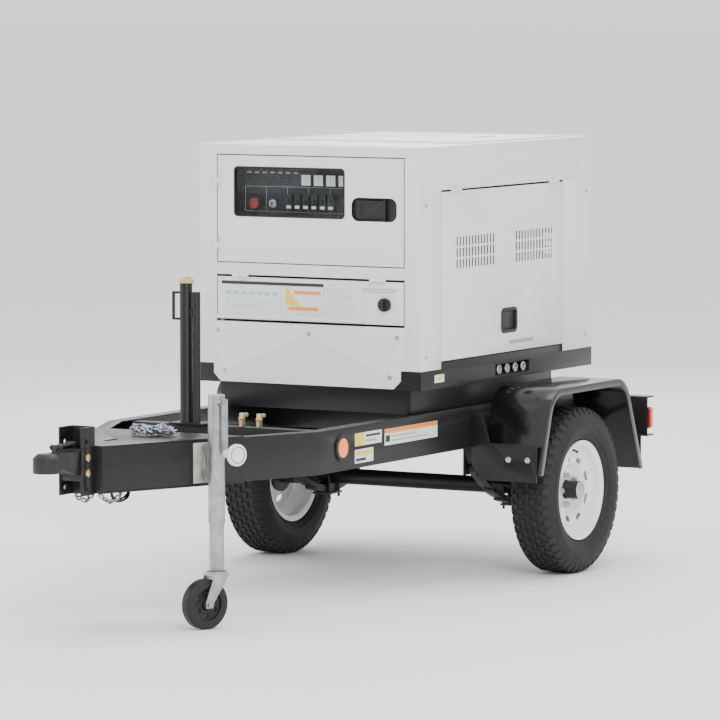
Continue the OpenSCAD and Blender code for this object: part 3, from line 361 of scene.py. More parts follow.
finishes = dict(
    shellPaint=dict(base=(0.77, 0.785, 0.775), second=(0.73, 0.745, 0.74), mottle=0.5, mottleScale=2.2,
                    worn=(0.55, 0.56, 0.55), wear=0.2, dust=0.05, roughness=0.36, spread=0.1, grainScale=700,
                    bump=0.12, coat=0.15),
    framePaint=dict(base=(0.008, 0.008, 0.009), second=(0.012, 0.012, 0.013), mottle=0.4, mottleScale=4,
                    worn=(0.06, 0.06, 0.06), wear=0.15, dust=0.012, roughness=0.34, spread=0.08,
                    grainScale=420, bump=0.08, coat=0.05, shine=0.3),
    fenderPaint=dict(base=(0.006, 0.006, 0.007), second=(0.009, 0.009, 0.010), mottle=0.4, mottleScale=3,
                     worn=(0.05, 0.05, 0.05), wear=0.1, dust=0.01, roughness=0.16, spread=0.06,
                     grainScale=350, bump=0.05, coat=0.3, shine=0.4),
    castBlack=dict(base=(0.012, 0.012, 0.013), second=(0.02, 0.02, 0.02), mottle=0.6, mottleScale=18,
                   worn=(0.14, 0.14, 0.14), wear=0.3, dust=0.02, roughness=0.4, spread=0.14, grainScale=380,
                   bump=0.3, bumpDepth=0.0008, shine=0.35),
    zincPlate=dict(base=(0.42, 0.43, 0.43), second=(0.27, 0.29, 0.31), mottle=0.9, mottleScale=26,
                   worn=(0.7, 0.7, 0.69), wear=0.4, dust=0.03, roughness=0.3, spread=0.18, grainScale=500,
                   bump=0.2, metallic=0.9, lines=(500, 500, 14), lineDepth=0.12),
    chainZinc=dict(base=(0.36, 0.39, 0.43), second=(0.24, 0.27, 0.31), mottle=0.8, mottleScale=60,
                   worn=(0.7, 0.72, 0.74), wear=0.5, dust=0.03, roughness=0.3, spread=0.15, metallic=0.95),
    zincBracket=dict(base=(0.44, 0.43, 0.36), second=(0.3, 0.3, 0.27), mottle=0.9, mottleScale=30,
                     worn=(0.66, 0.65, 0.6), wear=0.5, dust=0.06, roughness=0.4, spread=0.2, grainScale=420,
                     bump=0.3, metallic=0.8),
    yellowZinc=dict(base=(0.68, 0.49, 0.2), second=(0.55, 0.42, 0.3), mottle=0.9, mottleScale=60,
                    worn=(0.8, 0.75, 0.6), wear=0.5, dust=0.04, roughness=0.28, spread=0.15, metallic=0.95),
    boltSteel=dict(base=(0.5, 0.51, 0.52), second=(0.38, 0.39, 0.4), mottle=0.7, mottleScale=60,
                   worn=(0.8, 0.8, 0.8), wear=0.6, roughness=0.3, spread=0.2, metallic=0.95),
    rimPaint=dict(base=(0.86, 0.87, 0.87), second=(0.8, 0.82, 0.83), mottle=0.4, mottleScale=8,
                  worn=(0.6, 0.6, 0.6), wear=0.2, dust=0.06, roughness=0.26, spread=0.08, grainScale=500,
                  bump=0.08, coat=0.4),
    tyreRubber=dict(base=(0.013, 0.013, 0.014), second=(0.022, 0.021, 0.02), mottle=0.6, mottleScale=14,
                    worn=(0.05, 0.049, 0.047), wear=0.4, dust=0.05, roughness=0.62, spread=0.2,
                    grainScale=700, bump=0.4, bumpDepth=0.0006, shine=0.35),
    blackPlastic=dict(base=(0.01, 0.01, 0.011), second=(0.015, 0.015, 0.016), mottle=0.4, mottleScale=30,
                      worn=(0.06, 0.06, 0.06), wear=0.2, dust=0.015, roughness=0.4, spread=0.1,
                      grainScale=1500, bump=0.3, shine=0.35),
    whitePlastic=dict(base=(0.8, 0.79, 0.74), second=(0.72, 0.71, 0.66), mottle=0.4, mottleScale=30,
                      worn=(0.6, 0.6, 0.55), wear=0.2, roughness=0.35, spread=0.1),
    panelGrey=dict(base=(0.016, 0.018, 0.02), second=(0.012, 0.014, 0.016), mottle=0.4, mottleScale=20,
                   worn=(0.1, 0.1, 0.1), wear=0.2, dust=0.02, roughness=0.45, spread=0.1, grainScale=1200,
                   bump=0.2, shine=0.3),
    dialWhite=dict(base=(0.82, 0.83, 0.8), mottle=0.1, wear=0.0, dust=0.0, roughness=0.4),
    inkGrey=dict(base=(0.35, 0.38, 0.4), mottle=0.2, wear=0.0, dust=0.0, roughness=0.5),
    inkBlack=dict(base=(0.02, 0.02, 0.02), mottle=0.2, wear=0.0, dust=0.02, roughness=0.45),
    labelWhite=dict(base=(0.74, 0.77, 0.78), second=(0.7, 0.73, 0.75), mottle=0.3, mottleScale=12, wear=0.1,
                    dust=0.03, roughness=0.34, spread=0.06, coat=0.3),
    labelYellow=dict(base=(0.82, 0.62, 0.05), mottle=0.2, wear=0.0, dust=0.02, roughness=0.34, coat=0.3),
    labelOrange=dict(base=(0.85, 0.27, 0.03), mottle=0.2, wear=0.0, dust=0.02, roughness=0.34, coat=0.3),
    labelGreen=dict(base=(0.45, 0.55, 0.52), mottle=0.2, wear=0.0, dust=0.02, roughness=0.4),
    amberLens=dict(base=(0.95, 0.25, 0.02), mottle=0.3, mottleScale=40, wear=0.0, dust=0.02, roughness=0.12,
                   spread=0.05, coat=1.0, emission=0.25),
    redLens=dict(base=(0.62, 0.01, 0.012), mottle=0.3, mottleScale=40, wear=0.0, dust=0.02, roughness=0.12,
                 spread=0.05, coat=1.0, emission=0.12),
    stopRed=dict(base=(0.32, 0.012, 0.012), mottle=0.2, wear=0.1, roughness=0.35, coat=0.2),
    inkBlue=dict(base=(0.05, 0.14, 0.42), mottle=0.2, wear=0.0, dust=0.02, roughness=0.35),
    windowPane=dict(base=(0.9, 0.93, 0.94), mottle=0.1, wear=0.0, dust=0.01, roughness=0.02, spread=0.02,
                    bump=0.0, glass=1.0, ior=1.2),
    enginePaint=dict(base=(0.10, 0.12, 0.14), second=(0.07, 0.085, 0.1), mottle=0.7, mottleScale=14,
                     worn=(0.3, 0.3, 0.3), wear=0.5, dust=0.12, roughness=0.4, spread=0.2, bump=0.5),
    hotSteel=dict(base=(0.28, 0.23, 0.19), second=(0.17, 0.15, 0.15), mottle=1.0, mottleScale=20,
                  worn=(0.45, 0.42, 0.4), wear=0.4, dust=0.1, roughness=0.5, spread=0.2, metallic=0.7),
    fanYellow=dict(base=(0.6, 0.42, 0.05), mottle=0.3, mottleScale=20, wear=0.2, dust=0.12, roughness=0.45),
    floorPaint=dict(base=floorPlane["colour"][:3], second=(0.94, 0.94, 0.94), mottle=0.2, mottleScale=0.5,
                    wear=0.0, dust=0.0, roughness=floorPlane["roughness"], spread=0.02, grainScale=60,
                    bump=0.0),
)
mats = {name: makeFinish(name, **values) for name, values in finishes.items()}
print("finishes made:", len(mats))

makeCamera(camera)
for values in lights:
    makeLight(values)
makeSurround(surround)
floorMesh = bmesh.new()
bmesh.ops.create_grid(floorMesh, x_segments=4, y_segments=4, size=floorPlane["half"])
floorObject = newObject("studioFloor", meshFrom(floorMesh, "studioFloor"))
floorObject.data.materials.append(mats["floorPaint"])


# CAD nodes with rounded edges
bodyOf = {node: body for body, listed in frame["record"]["behaviour"]["bodies"].items() for node in listed}


def roundedCopy(node, width, finish, segments=2, split=None):
    # the node's own mesh, merged and with small rounds on its edges, stands for the node
    source = frame["nodes"][node]
    bm = bmesh.new()
    bm.from_mesh(source.data)
    bmesh.ops.remove_doubles(bm, verts=bm.verts, dist=1e-5)
    bmesh.ops.dissolve_limit(bm, angle_limit=math.radians(0.5), verts=bm.verts, edges=bm.edges)
    thing = newObject(node + "Shell", meshFrom(bm, node + "Shell"))
    softenEdges(thing, width, segments)
    thing.data.materials.clear()
    names = [finish] if isinstance(finish, str) else list(finish)
    for name in names:
        thing.data.materials.append(mats[name])
    for face in thing.data.polygons:
        face.material_index = split(face) if split else 0
    smoothByAngle(thing.data)
    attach(thing, bodyOf[node])
    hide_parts(node)
    return thing


roundWidths = dict(
    framePaint=dict(width=0.0022, nodes=["rail_right", "rail_left", "crossmembers", "tongue_box",
                                         "coupler_channel", "fuel_tank", "axle", "leaf_springs",
                                         "spring_hangers", "fender_brackets", "rear_beam", "base_skid"]),
    fenderPaint=dict(width=0.0012, nodes=["fender_right", "fender_left"]),
    castBlack=dict(width=0.0018, nodes=["coupler_body", "coupler_latch"]),
    shellPaint=dict(width=0.0011, nodes=["front_post_right", "front_midrail", "rear_panel", "roof_cover"]),
    zincPlate=dict(width=0.001, nodes=["jack_outer", "jack_inner", "jack_crank", "caster_fork"]),
    zincBracket=dict(width=0.0015, nodes=["jack_bracket"]),
    yellowZinc=dict(width=0.0008, nodes=["filler_cap"]),
    boltSteel=dict(width=0.0006, nodes=["key_switch"]),
    rimPaint=dict(width=0.0008, nodes=["rim_right", "rim_left"]),
    blackPlastic=dict(width=0.001, nodes=["door_latch", "side_latch_right", "side_latch_left", "flap_knob",
                                          "battery", "caster_wheel"]),
    whitePlastic=dict(width=0.0015, nodes=["crank_grip"]),
    stopRed=dict(width=0.0015, nodes=["stop_button"]),
    enginePaint=dict(width=0.003, nodes=["engine", "alternator"]),
    panelGrey=dict(width=0.001, nodes=["radiator", "terminal_board"]),
    hotSteel=dict(width=0.001, nodes=["muffler"]),
    fanYellow=dict(width=0.0008, nodes=["fan"]),
    windowPane=dict(width=0.0008, nodes=["door_window"]),
)
for finish, values in roundWidths.items():
    for node in values["nodes"]:
        roundedCopy(node, values["width"], finish)
print("plain nodes rounded")


# places read from the frame
def low(node):
    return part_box(node)[0]


def high(node):
    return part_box(node)[1]


faceY = low("front_post_right")[1]  # front skin of the housing
sideX = high("front_post_right")[0]
deckZ = low("rear_panel")[2]
baseZ = low("base_skid")[2]
roofZ = high("front_post_right")[2]
wheelAt = [(a + b) / 2 for a, b in zip(low("tyre_right"), high("tyre_right"))]
flapLow, flapHigh = low("output_flap"), high("output_flap")
paneLow, paneHigh = low("door_window"), high("door_window")


# nodes that carry more than one finish
def byRule(rules):
    # rules are (test, slot); the first test that a face passes sets its slot
    def pick(face):
        c = face.center
        for test, slot in rules:
            if test(c):
                return slot
        return 0
    return pick


neckTop = low("filler_cap")[2]
hubFace = wheelAt[0]
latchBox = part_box("door_latch")
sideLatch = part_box("side_latch_right")


def nearPocket(c):
    lo, hi = latchBox
    inside = lo[0] - 0.05 < c.x < hi[0] + 0.075 and lo[2] - 0.03 < c.z < hi[2] + 0.03
    return inside and c.y > faceY + 0.0006


def nearSidePocket(c):
    lo, hi = sideLatch
    inside = lo[1] - 0.012 < c.y < hi[1] + 0.012 and lo[2] - 0.02 < c.z < hi[2] + 0.02
    return inside and abs(c.x) < sideX - 0.0006


def onStuds(c):
    # the studs stand outside the hub's bore, proud of the rim
    away = math.hypot(c.y - wheelAt[1], c.z - wheelAt[2])
    return away > 0.042 and abs(c.x) > hubFace + 0.002


def onCap(c):
    return abs(c.x) > hubFace + 0.0615


mixedNodes = [
    ("filler_neck", ["framePaint", "yellowZinc"], 0.001,
     [(lambda c: c.z > neckTop - 0.0128, 1), (lambda c: c.x > 0.045 and c.z < 0.75, 1)]),
    ("frame_bolts", ["castBlack", "yellowZinc", "boltSteel"], 0.0006,
     [(lambda c: abs(c.x) < 0.07 and c.y < -1.2, 1), (lambda c: abs(c.x) > 0.5, 2)]),
    ("control_door", ["shellPaint", "blackPlastic"], 0.0012,
     [(nearPocket, 1)]),
    ("front_post_left", ["shellPaint"], 0.0012, []),
    ("output_flap", ["shellPaint"], 0.001, []),
    ("cable_panel", ["shellPaint", "boltSteel"], 0.0008, [(lambda c: c.y < faceY - 0.0043, 1)]),
    ("side_door_right", ["shellPaint", "blackPlastic"], 0.001,
     [(nearSidePocket, 1)]),
    ("side_door_left", ["shellPaint", "blackPlastic"], 0.001,
     [(nearSidePocket, 1)]),
    ("control_panel", ["panelGrey", "blackPlastic", "dialWhite"], 0.0008, []),
    ("hub_right", ["castBlack", "boltSteel"], 0.001, [(onStuds, 1), (onCap, 1)]),
    ("hub_left", ["castBlack", "boltSteel"], 0.001, [(onStuds, 1), (onCap, 1)]),
]
for node, names, width, rules in mixedNodes:
    roundedCopy(node, width, names, 2, byRule(rules))
print("mixed nodes rounded")


# geometry node trees
def newTree(name, inputs):
    tree = bpy.data.node_groups.new(name, "GeometryNodeTree")
    tree.is_modifier = True
    tree.interface.new_socket(name="Geometry", in_out="INPUT", socket_type="NodeSocketGeometry")
    for label, kind, value in inputs:
        made = tree.interface.new_socket(name=label, in_out="INPUT", socket_type=kind)
        if value is not None:
            made.default_value = value
    tree.interface.new_socket(name="Geometry", in_out="OUTPUT", socket_type="NodeSocketGeometry")
    return tree, tree.nodes.new("NodeGroupInput"), tree.nodes.new("NodeGroupOutput")


def finishTree(tree, geometry, inside, out):
    real = tree.nodes.new("GeometryNodeRealizeInstances")
    paint = tree.nodes.new("GeometryNodeSetMaterial")
    tree.links.new(geometry, real.inputs["Geometry"])
    tree.links.new(real.outputs["Geometry"], paint.inputs["Geometry"])
    tree.links.new(inside.outputs["Finish"], paint.inputs["Material"])
    tree.links.new(paint.outputs["Geometry"], out.inputs["Geometry"])


def makeRingTree():
    # copies of one object round a circle in the XY plane, each turned to face outwards
    tree, inside, out = newTree("ringOfCopies", [
        ("Count", "NodeSocketInt", 8), ("Radius", "NodeSocketFloat", 0.1), ("Offset", "NodeSocketFloat", 0.0),
        ("Copy", "NodeSocketObject", None), ("Finish", "NodeSocketMaterial", None)])
    nodes, links = tree.nodes, tree.links
    ring = nodes.new("GeometryNodeMeshCircle")
    links.new(inside.outputs["Count"], ring.inputs["Vertices"])
    links.new(inside.outputs["Radius"], ring.inputs["Radius"])
    info = nodes.new("GeometryNodeObjectInfo")
    links.new(inside.outputs["Copy"], info.inputs["Object"])
    index = nodes.new("GeometryNodeInputIndex")
    step = nodes.new("ShaderNodeMath")
    step.operation = "DIVIDE"
    step.inputs[0].default_value = 2 * math.pi
    links.new(inside.outputs["Count"], step.inputs[1])
    angle = nodes.new("ShaderNodeMath")
    angle.operation = "MULTIPLY"
    links.new(index.outputs[0], angle.inputs[0])
    links.new(step.outputs[0], angle.inputs[1])
    turn = nodes.new("ShaderNodeCombineXYZ")
    links.new(angle.outputs[0], turn.inputs["Z"])
    copies = nodes.new("GeometryNodeInstanceOnPoints")
    links.new(ring.outputs["Mesh"], copies.inputs["Points"])
    links.new(info.outputs["Geometry"], copies.inputs["Instance"])
    links.new(turn.outputs[0], copies.inputs["Rotation"])
    offset = nodes.new("ShaderNodeCombineXYZ")
    links.new(inside.outputs["Offset"], offset.inputs["Z"])
    move = nodes.new("GeometryNodeTransform")
    links.new(copies.outputs["Instances"], move.inputs["Geometry"])
    links.new(offset.outputs[0], move.inputs["Rotation"])
    finishTree(tree, move.outputs["Geometry"], inside, out)
    return tree


def makePointsTree():
    # copies of one object on the vertices of the input mesh
    tree, inside, out = newTree("copiesOnPoints", [
        ("Copy", "NodeSocketObject", None), ("Turn", "NodeSocketVector", (0, 0, 0)),
        ("Spin", "NodeSocketFloat", 0.0), ("Seed", "NodeSocketInt", 3),
        ("Finish", "NodeSocketMaterial", None)])
    nodes, links = tree.nodes, tree.links
    info = nodes.new("GeometryNodeObjectInfo")
    links.new(inside.outputs["Copy"], info.inputs["Object"])
    chance = nodes.new("FunctionNodeRandomValue")
    links.new(inside.outputs["Spin"], chance.inputs["Max"])
    links.new(inside.outputs["Seed"], chance.inputs["Seed"])
    spin = nodes.new("ShaderNodeCombineXYZ")
    links.new(chance.outputs["Value"], spin.inputs["Z"])
    copies = nodes.new("GeometryNodeInstanceOnPoints")
    links.new(inside.outputs["Geometry"], copies.inputs["Points"])
    links.new(info.outputs["Geometry"], copies.inputs["Instance"])
    links.new(inside.outputs["Turn"], copies.inputs["Rotation"])
    roll = nodes.new("GeometryNodeRotateInstances")
    links.new(copies.outputs["Instances"], roll.inputs["Instances"])
    links.new(spin.outputs[0], roll.inputs["Rotation"])
    finishTree(tree, roll.outputs["Instances"], inside, out)
    return tree


def makeChainTree():
    # links along a curve, every second one turned a quarter about the chain's line
    tree, inside, out = newTree("chainLinks", [
        ("Copy", "NodeSocketObject", None), ("Pitch", "NodeSocketFloat", 0.026),
        ("Finish", "NodeSocketMaterial", None)])
    nodes, links = tree.nodes, tree.links
    info = nodes.new("GeometryNodeObjectInfo")
    links.new(inside.outputs["Copy"], info.inputs["Object"])
    points = nodes.new("GeometryNodeCurveToPoints")
    points.mode = "LENGTH"
    links.new(inside.outputs["Geometry"], points.inputs["Curve"])
    links.new(inside.outputs["Pitch"], points.inputs["Length"])
    align = nodes.new("FunctionNodeAlignRotationToVector")
    align.axis = "X"
    links.new(points.outputs["Tangent"], align.inputs["Vector"])
    index = nodes.new("GeometryNodeInputIndex")
    odd = nodes.new("ShaderNodeMath")
    odd.operation = "MODULO"
    odd.inputs[1].default_value = 2.0
    links.new(index.outputs[0], odd.inputs[0])
    quarter = nodes.new("ShaderNodeMath")
    quarter.operation = "MULTIPLY_ADD"
    quarter.inputs[1].default_value = math.pi / 2
    quarter.inputs[2].default_value = math.pi / 4
    links.new(odd.outputs[0], quarter.inputs[0])
    spin = nodes.new("ShaderNodeCombineXYZ")
    links.new(quarter.outputs[0], spin.inputs["X"])
    copies = nodes.new("GeometryNodeInstanceOnPoints")
    links.new(points.outputs["Points"], copies.inputs["Points"])
    links.new(info.outputs["Geometry"], copies.inputs["Instance"])
    links.new(align.outputs["Rotation"], copies.inputs["Rotation"])
    roll = nodes.new("GeometryNodeRotateInstances")
    links.new(copies.outputs["Instances"], roll.inputs["Instances"])
    links.new(spin.outputs[0], roll.inputs["Rotation"])
    finishTree(tree, roll.outputs["Instances"], inside, out)
    return tree


ringTree = makeRingTree()
pointsTree = makePointsTree()
chainTree = makeChainTree()


def runTree(base, tree, values):
    modifier = base.modifiers.new(tree.name, "NODES")
    modifier.node_group = tree
    ids = {item.name: item.identifier for item in tree.interface.items_tree if item.in_out == "INPUT"}
    for name, value in values.items():
        modifier[ids[name]] = value
    graph = bpy.context.evaluated_depsgraph_get()
    graph.update()
    mesh = bpy.data.meshes.new_from_object(base.evaluated_get(graph), depsgraph=graph)
    bpy.data.objects.remove(base)
    return mesh


def template(name, bm, round=0.0):
    fixNormals(bm)
    thing = newObject(name, meshFrom(bm, name))
    if round > 0:
        softenEdges(thing, round, 1)
    smoothByAngle(thing.data)
    return thing


def pointMesh(name, places):
    mesh = bpy.data.meshes.new(name)
    mesh.from_pydata([tuple(p) for p in places], [], [])
    return newObject(name, mesh)


def copiesAt(name, source, places, body, finish, turn=(0, 0, 0), spin=0.0, seed=3):
    mesh = runTree(pointMesh(name + "Points", places), pointsTree,
                   dict(Copy=source, Turn=turn, Spin=spin, Seed=seed, Finish=mats[finish]))
    thing = newObject(name, mesh)
    smoothByAngle(mesh)
    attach(thing, body)
    return thing


# tyres
tyreLook = dict(blocks=48, steps=96, blockHeight=0.0075,
                rows=[(0.0, 0.013, 0.024, 0.0), (0.024, 0.015, 0.022, 0.5), (-0.024, 0.015, 0.022, 0.5),
                      (0.050, 0.018, 0.024, 0.0), (-0.050, 0.018, 0.024, 0.0)])


def treadBlock(width, length, height):
    bm = bmesh.new()
    bend = 0.22 * length
    outline = [(-length / 2, -width / 2), (-bend * 0.3, -width / 2 + 0.002), (length / 2, -width / 2),
               (length / 2 - 0.002, 0), (length / 2, width / 2), (bend * 0.3, width / 2 - 0.002),
               (-length / 2, width / 2), (-length / 2 + 0.002, 0)]
    rings = []
    for level, shrink in [(-0.004, 1.0), (height - 0.001, 0.97), (height, 0.86)]:
        rings.append([bm.verts.new((level, y * shrink, z * shrink)) for y, z in outline])
    for a, b in zip(rings, rings[1:]):
        for k in range(len(a)):
            n = (k + 1) % len(a)
            bm.faces.new((a[k], a[n], b[n], b[k]))
    bm.faces.new(rings[-1])
    bm.faces.new(list(reversed(rings[0])))
    return template("treadBlock", bm)


def makeTyre(side):
    node = "tyre_right" if side > 0 else "tyre_left"
    lo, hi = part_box(node)
    centre = Vector([(a + b) / 2 for a, b in zip(lo, hi)])
    outer = (hi[2] - lo[2]) / 2
    half = (hi[0] - lo[0]) / 2
    bead = 0.1655
    base = outer - tyreLook["blockHeight"]
    profile = [(bead, -0.050), (bead + 0.018, -0.0550), (0.189, -0.0645), (0.200, -half + 0.014),
               (0.206, -half + 0.0125), (0.208, -half + 0.0085), (0.222, -half + 0.0035),
               (0.238, -half + 0.0004), (0.246, -half + 0.0010), (0.248, -half + 0.0026),
               (0.262, -half + 0.0042), (0.276, -half + 0.0105),
               (0.287, -half + 0.018), (base - 0.003, -half + 0.0245), (base - 0.0004, -0.052),
               (base, -0.03), (base, 0.0)]
    full = profile + [(r, -z) for r, z in reversed(profile[:-1])]
    bm = bmesh.new()
    addLathe(bm, full + [full[0]], steps=tyreLook["steps"])
    bmesh.ops.remove_doubles(bm, verts=bm.verts, dist=1e-6)
    fixNormals(bm)
    parts = [meshFrom(bm, "tyreBody")]
    count = tyreLook["blocks"]
    for place, width, length, shift in tyreLook["rows"]:
        drop = 0.0012 if abs(place) > 0.04 else 0.0
        block = treadBlock(width, length, tyreLook["blockHeight"] - drop)
        ring = runTree(pointMesh("treadRing", [(0, 0, 0)]), ringTree,
                       dict(Count=count, Radius=base - 0.0002, Offset=shift * 2 * math.pi / count, Copy=block,
                            Finish=mats["tyreRubber"]))
        bpy.data.objects.remove(block)
        ring.transform(Matrix.Translation((0, 0, place)))
        parts.append(ring)
    for edge in (-1, 1):
        lug = bmesh.new()
        lugHalf = 0.0115
        pts = [(base + 0.0045, 0.060), (base + 0.0015, 0.0655), (0.2905, 0.0735), (0.2795, 0.0790),
               (0.2760, 0.0760), (0.288, 0.066), (base - 0.004, 0.058)]
        sides = [[lug.verts.new((r - base, t * lugHalf, z * edge)) for r, z in pts] for t in (-1, 1)]
        for k in range(len(pts)):
            n = (k + 1) % len(pts)
            lug.faces.new((sides[0][k], sides[0][n], sides[1][n], sides[1][k]))
        lug.faces.new(sides[0])
        lug.faces.new(list(reversed(sides[1])))
        block = template("shoulderLug", lug, 0.0012)
        ring = runTree(pointMesh("lugRing", [(0, 0, 0)]), ringTree,
                       dict(Count=count, Radius=base, Offset=math.pi / count, Copy=block,
                            Finish=mats["tyreRubber"]))
        bpy.data.objects.remove(block)
        parts.append(ring)
    whole = bmesh.new()
    for mesh in parts:
        whole.from_mesh(mesh)
    whole.transform(Matrix.Translation(centre) @ axisTurn((1, 0, 0)))
    fixNormals(whole)
    tyre = newObject(node + "Tread", meshFrom(whole, node + "Tread"))
    tyre.data.materials.clear()
    tyre.data.materials.append(mats["tyreRubber"])
    for face in tyre.data.polygons:
        face.material_index = 0
    smoothByAngle(tyre.data, 40)
    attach(tyre, "wheel_right" if side > 0 else "wheel_left")
    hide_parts(node)


for side in (1, -1):
    makeTyre(side)
print("tyres made")


# safety chains
chainLook = dict(wire=0.0032, linkLength=0.031, linkWidth=0.0205, pitch=0.0245, turns=4.6)


def makeLink():
    bm = bmesh.new()
    wire, halfLength = chainLook["wire"], chainLook["linkLength"] / 2 - chainLook["wire"]
    halfWidth = chainLook["linkWidth"] / 2 - chainLook["wire"]
    straight = halfLength - halfWidth
    path = []
    for k in range(7):
        a = -math.pi / 2 + math.pi * k / 6
        path.append((straight + halfWidth * math.cos(a), halfWidth * math.sin(a)))
    path += [(-x, -y) for x, y in path]
    rings = []
    n = len(path)
    for k, (x, y) in enumerate(path):
        ahead, back = Vector(path[(k + 1) % n]), Vector(path[k - 1])
        along = (ahead - back).normalized()
        out = Vector((along.y, -along.x, 0))
        rings.append([bm.verts.new(Vector((x, y, 0)) + out * wire * math.cos(t)
                                   + Vector((0, 0, wire * math.sin(t))))
                      for t in [2 * math.pi * j / 6 for j in range(6)]])
    for k in range(n):
        a, b = rings[k], rings[(k + 1) % n]
        for j in range(6):
            m = (j + 1) % 6
            bm.faces.new((a[j], a[m], b[m], b[j]))
    return template("chainLink", bm)


def chainAlong(name, places, replaces=None):
    data = bpy.data.curves.new(name + "Line", "CURVE")
    data.dimensions = "3D"
    spline = data.splines.new("POLY")
    spline.points.add(len(places) - 1)
    for point, place in zip(spline.points, places):
        point.co = (*place, 1)
    line = newObject(name + "Line", data)
    link = makeLink()
    mesh = runTree(line, chainTree, dict(Copy=link, Pitch=chainLook["pitch"], Finish=mats["chainZinc"]))
    bpy.data.objects.remove(link)
    thing = newObject(name, mesh)
    smoothByAngle(mesh, 60)
    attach(thing, "chassis")
    if replaces:
        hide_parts(replaces)


heapLow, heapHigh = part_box("safety_chain")
heapPlaces = []
for k in range(220):
    t = k / 219
    a = 2 * math.pi * chainLook["turns"] * t
    wide = 0.5 + 0.42 * math.sin(2.3 * a + 1.0)
    x = (heapLow[0] + heapHigh[0]) / 2 + 0.072 * math.cos(a) * wide + 0.02 * math.sin(3.1 * a)
    y = (heapLow[1] + heapHigh[1]) / 2 + 0.058 * math.sin(a) * (0.65 + 0.3 * math.cos(1.7 * a))
    z = heapLow[2] + 0.011 + 0.016 * t + 0.003 * math.sin(5 * a)
    heapPlaces.append((x, y, min(z, heapHigh[2] - 0.009)))
chainAlong("stowedChain", heapPlaces, "safety_chain")
under = low("tongue_box")[2]
tongueFront = low("tongue_box")[1]
for side in (-1, 1):
    drop = [(side * (0.050 + 0.004 * math.sin(k)), tongueFront + 0.03 + 0.013 * k,
             under - 0.012 - 0.024 * math.sin(math.pi * k / 9)) for k in range(10)]
    chainAlong("hangingChainRight" if side > 0 else "hangingChainLeft", drop)
print("chains made")


# wiring loop
def tubeAlong(name, places, radius, body, finish, sides=12, stands=()):
    bm = bmesh.new()
    rings = []
    angles = [2 * math.pi * j / sides for j in range(sides)]
    for k, place in enumerate(places):
        ahead = Vector(places[min(k + 1, len(places) - 1)]) - Vector(places[max(k - 1, 0)])
        turn = ahead.to_track_quat("Z", "X").to_matrix()
        rings.append([bm.verts.new(Vector(place) + radius * (turn @ Vector((math.cos(a), math.sin(a), 0))))
                      for a in angles])
    for a, b in zip(rings, rings[1:]):
        shift = min(range(sides), key=lambda s: (a[0].co - b[s].co).length)
        for j in range(sides):
            n = (j + 1) % sides
            bm.faces.new((a[j], a[n], b[(n + shift) % sides], b[(j + shift) % sides]))
    bm.faces.new(rings[0])
    bm.faces.new(rings[-1])
    return addPiece(name, bm, body, [mats[finish]], stands=stands, angle=50)


loopLow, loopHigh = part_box("wiring_harness")
for k, (shift, drop) in enumerate([(0.0, 0.0), (0.009, 0.004), (-0.008, 0.006)]):
    places = []
    for j in range(25):
        a = math.pi * j / 24
        y = (loopLow[1] + loopHigh[1]) / 2 - 0.055 * math.cos(a)
        z = loopHigh[2] - 0.004 - (loopHigh[2] - loopLow[2] - 0.009 - drop) * math.sin(a) ** 0.6
        places.append(((loopLow[0] + loopHigh[0]) / 2 + shift * math.sin(a), y, z))
    tubeAlong(f"wiringStrand{k}", places, 0.0042 if k == 0 else 0.0032, "chassis", "blackPlastic",
              stands=["wiring_harness"] if k == 0 else ())


# lamps
def makeLamps():
    lampHigh = high("lamps")
    railX = high("rail_right")[0]
    markerY, markerZ = lampPlaces["markerY"], lampPlaces["markerZ"]
    for side in (1, -1):
        tag = "Right" if side > 0 else "Left"
        ring = bmesh.new()
        addLathe(ring, [(0.0355, 0), (0.048, 0), (0.048, 0.004), (0.0455, 0.0068), (0.038, 0.0068),
                        (0.0355, 0.005), (0.0355, 0)], (side * railX, markerY, markerZ), (side, 0, 0))
        addPiece("markerRing" + tag, ring, "chassis", [mats["blackPlastic"]])
        lens = bmesh.new()
        profile = [(0.0, 0.0), (0.034, 0.0), (0.034, 0.006)]
        profile += [(r, 0.0115 - 0.004 * (r / 0.034) ** 2 + (0.0004 if k % 2 else -0.0004))
                    for k, r in enumerate([0.032, 0.029, 0.026, 0.023, 0.020, 0.017, 0.014, 0.011, 0.008])]
        profile += [(0.0, 0.0116)]
        addLathe(lens, profile, (side * railX, markerY, markerZ), (side, 0, 0))
        addPiece("markerLens" + tag, lens, "chassis", [mats["amberLens"]],
                 stands=["lamps"] if side > 0 else ())
        tail = bmesh.new()
        beamX, tailX = high("rear_beam")[0], lampHigh[0]
        y0, y1 = lampPlaces["tailY0"], lampPlaces["tailY1"]
        z1 = high("rear_beam")[2] - 0.040
        z0 = z1 - 0.080
        addBlock(tail, (min(side * beamX, side * (beamX + 0.003)), y0, z0),
                 (max(side * beamX, side * (beamX + 0.003)), y1, z1), 0)
        xa, xb = side * (beamX + 0.003), side * tailX
        for k in range(6):
            za = z0 + 0.004 + k * 0.0121
            addBlock(tail, (min(xa, xb), y0 + 0.003, za), (max(xa, xb), y1 - 0.003, za + 0.0118), 1)
        addPiece("tailLamp" + tag, tail, "chassis", [mats["blackPlastic"], mats["redLens"]], round=0.0012)


railHalf = high("rail_right")[0]
lampPlaces = dict(markerY=-0.345, markerZ=0.563, tailY0=low("rear_beam")[1] + 0.001,
                  tailY1=low("rear_beam")[1] + 0.030)
makeLamps()
print("lamps made")


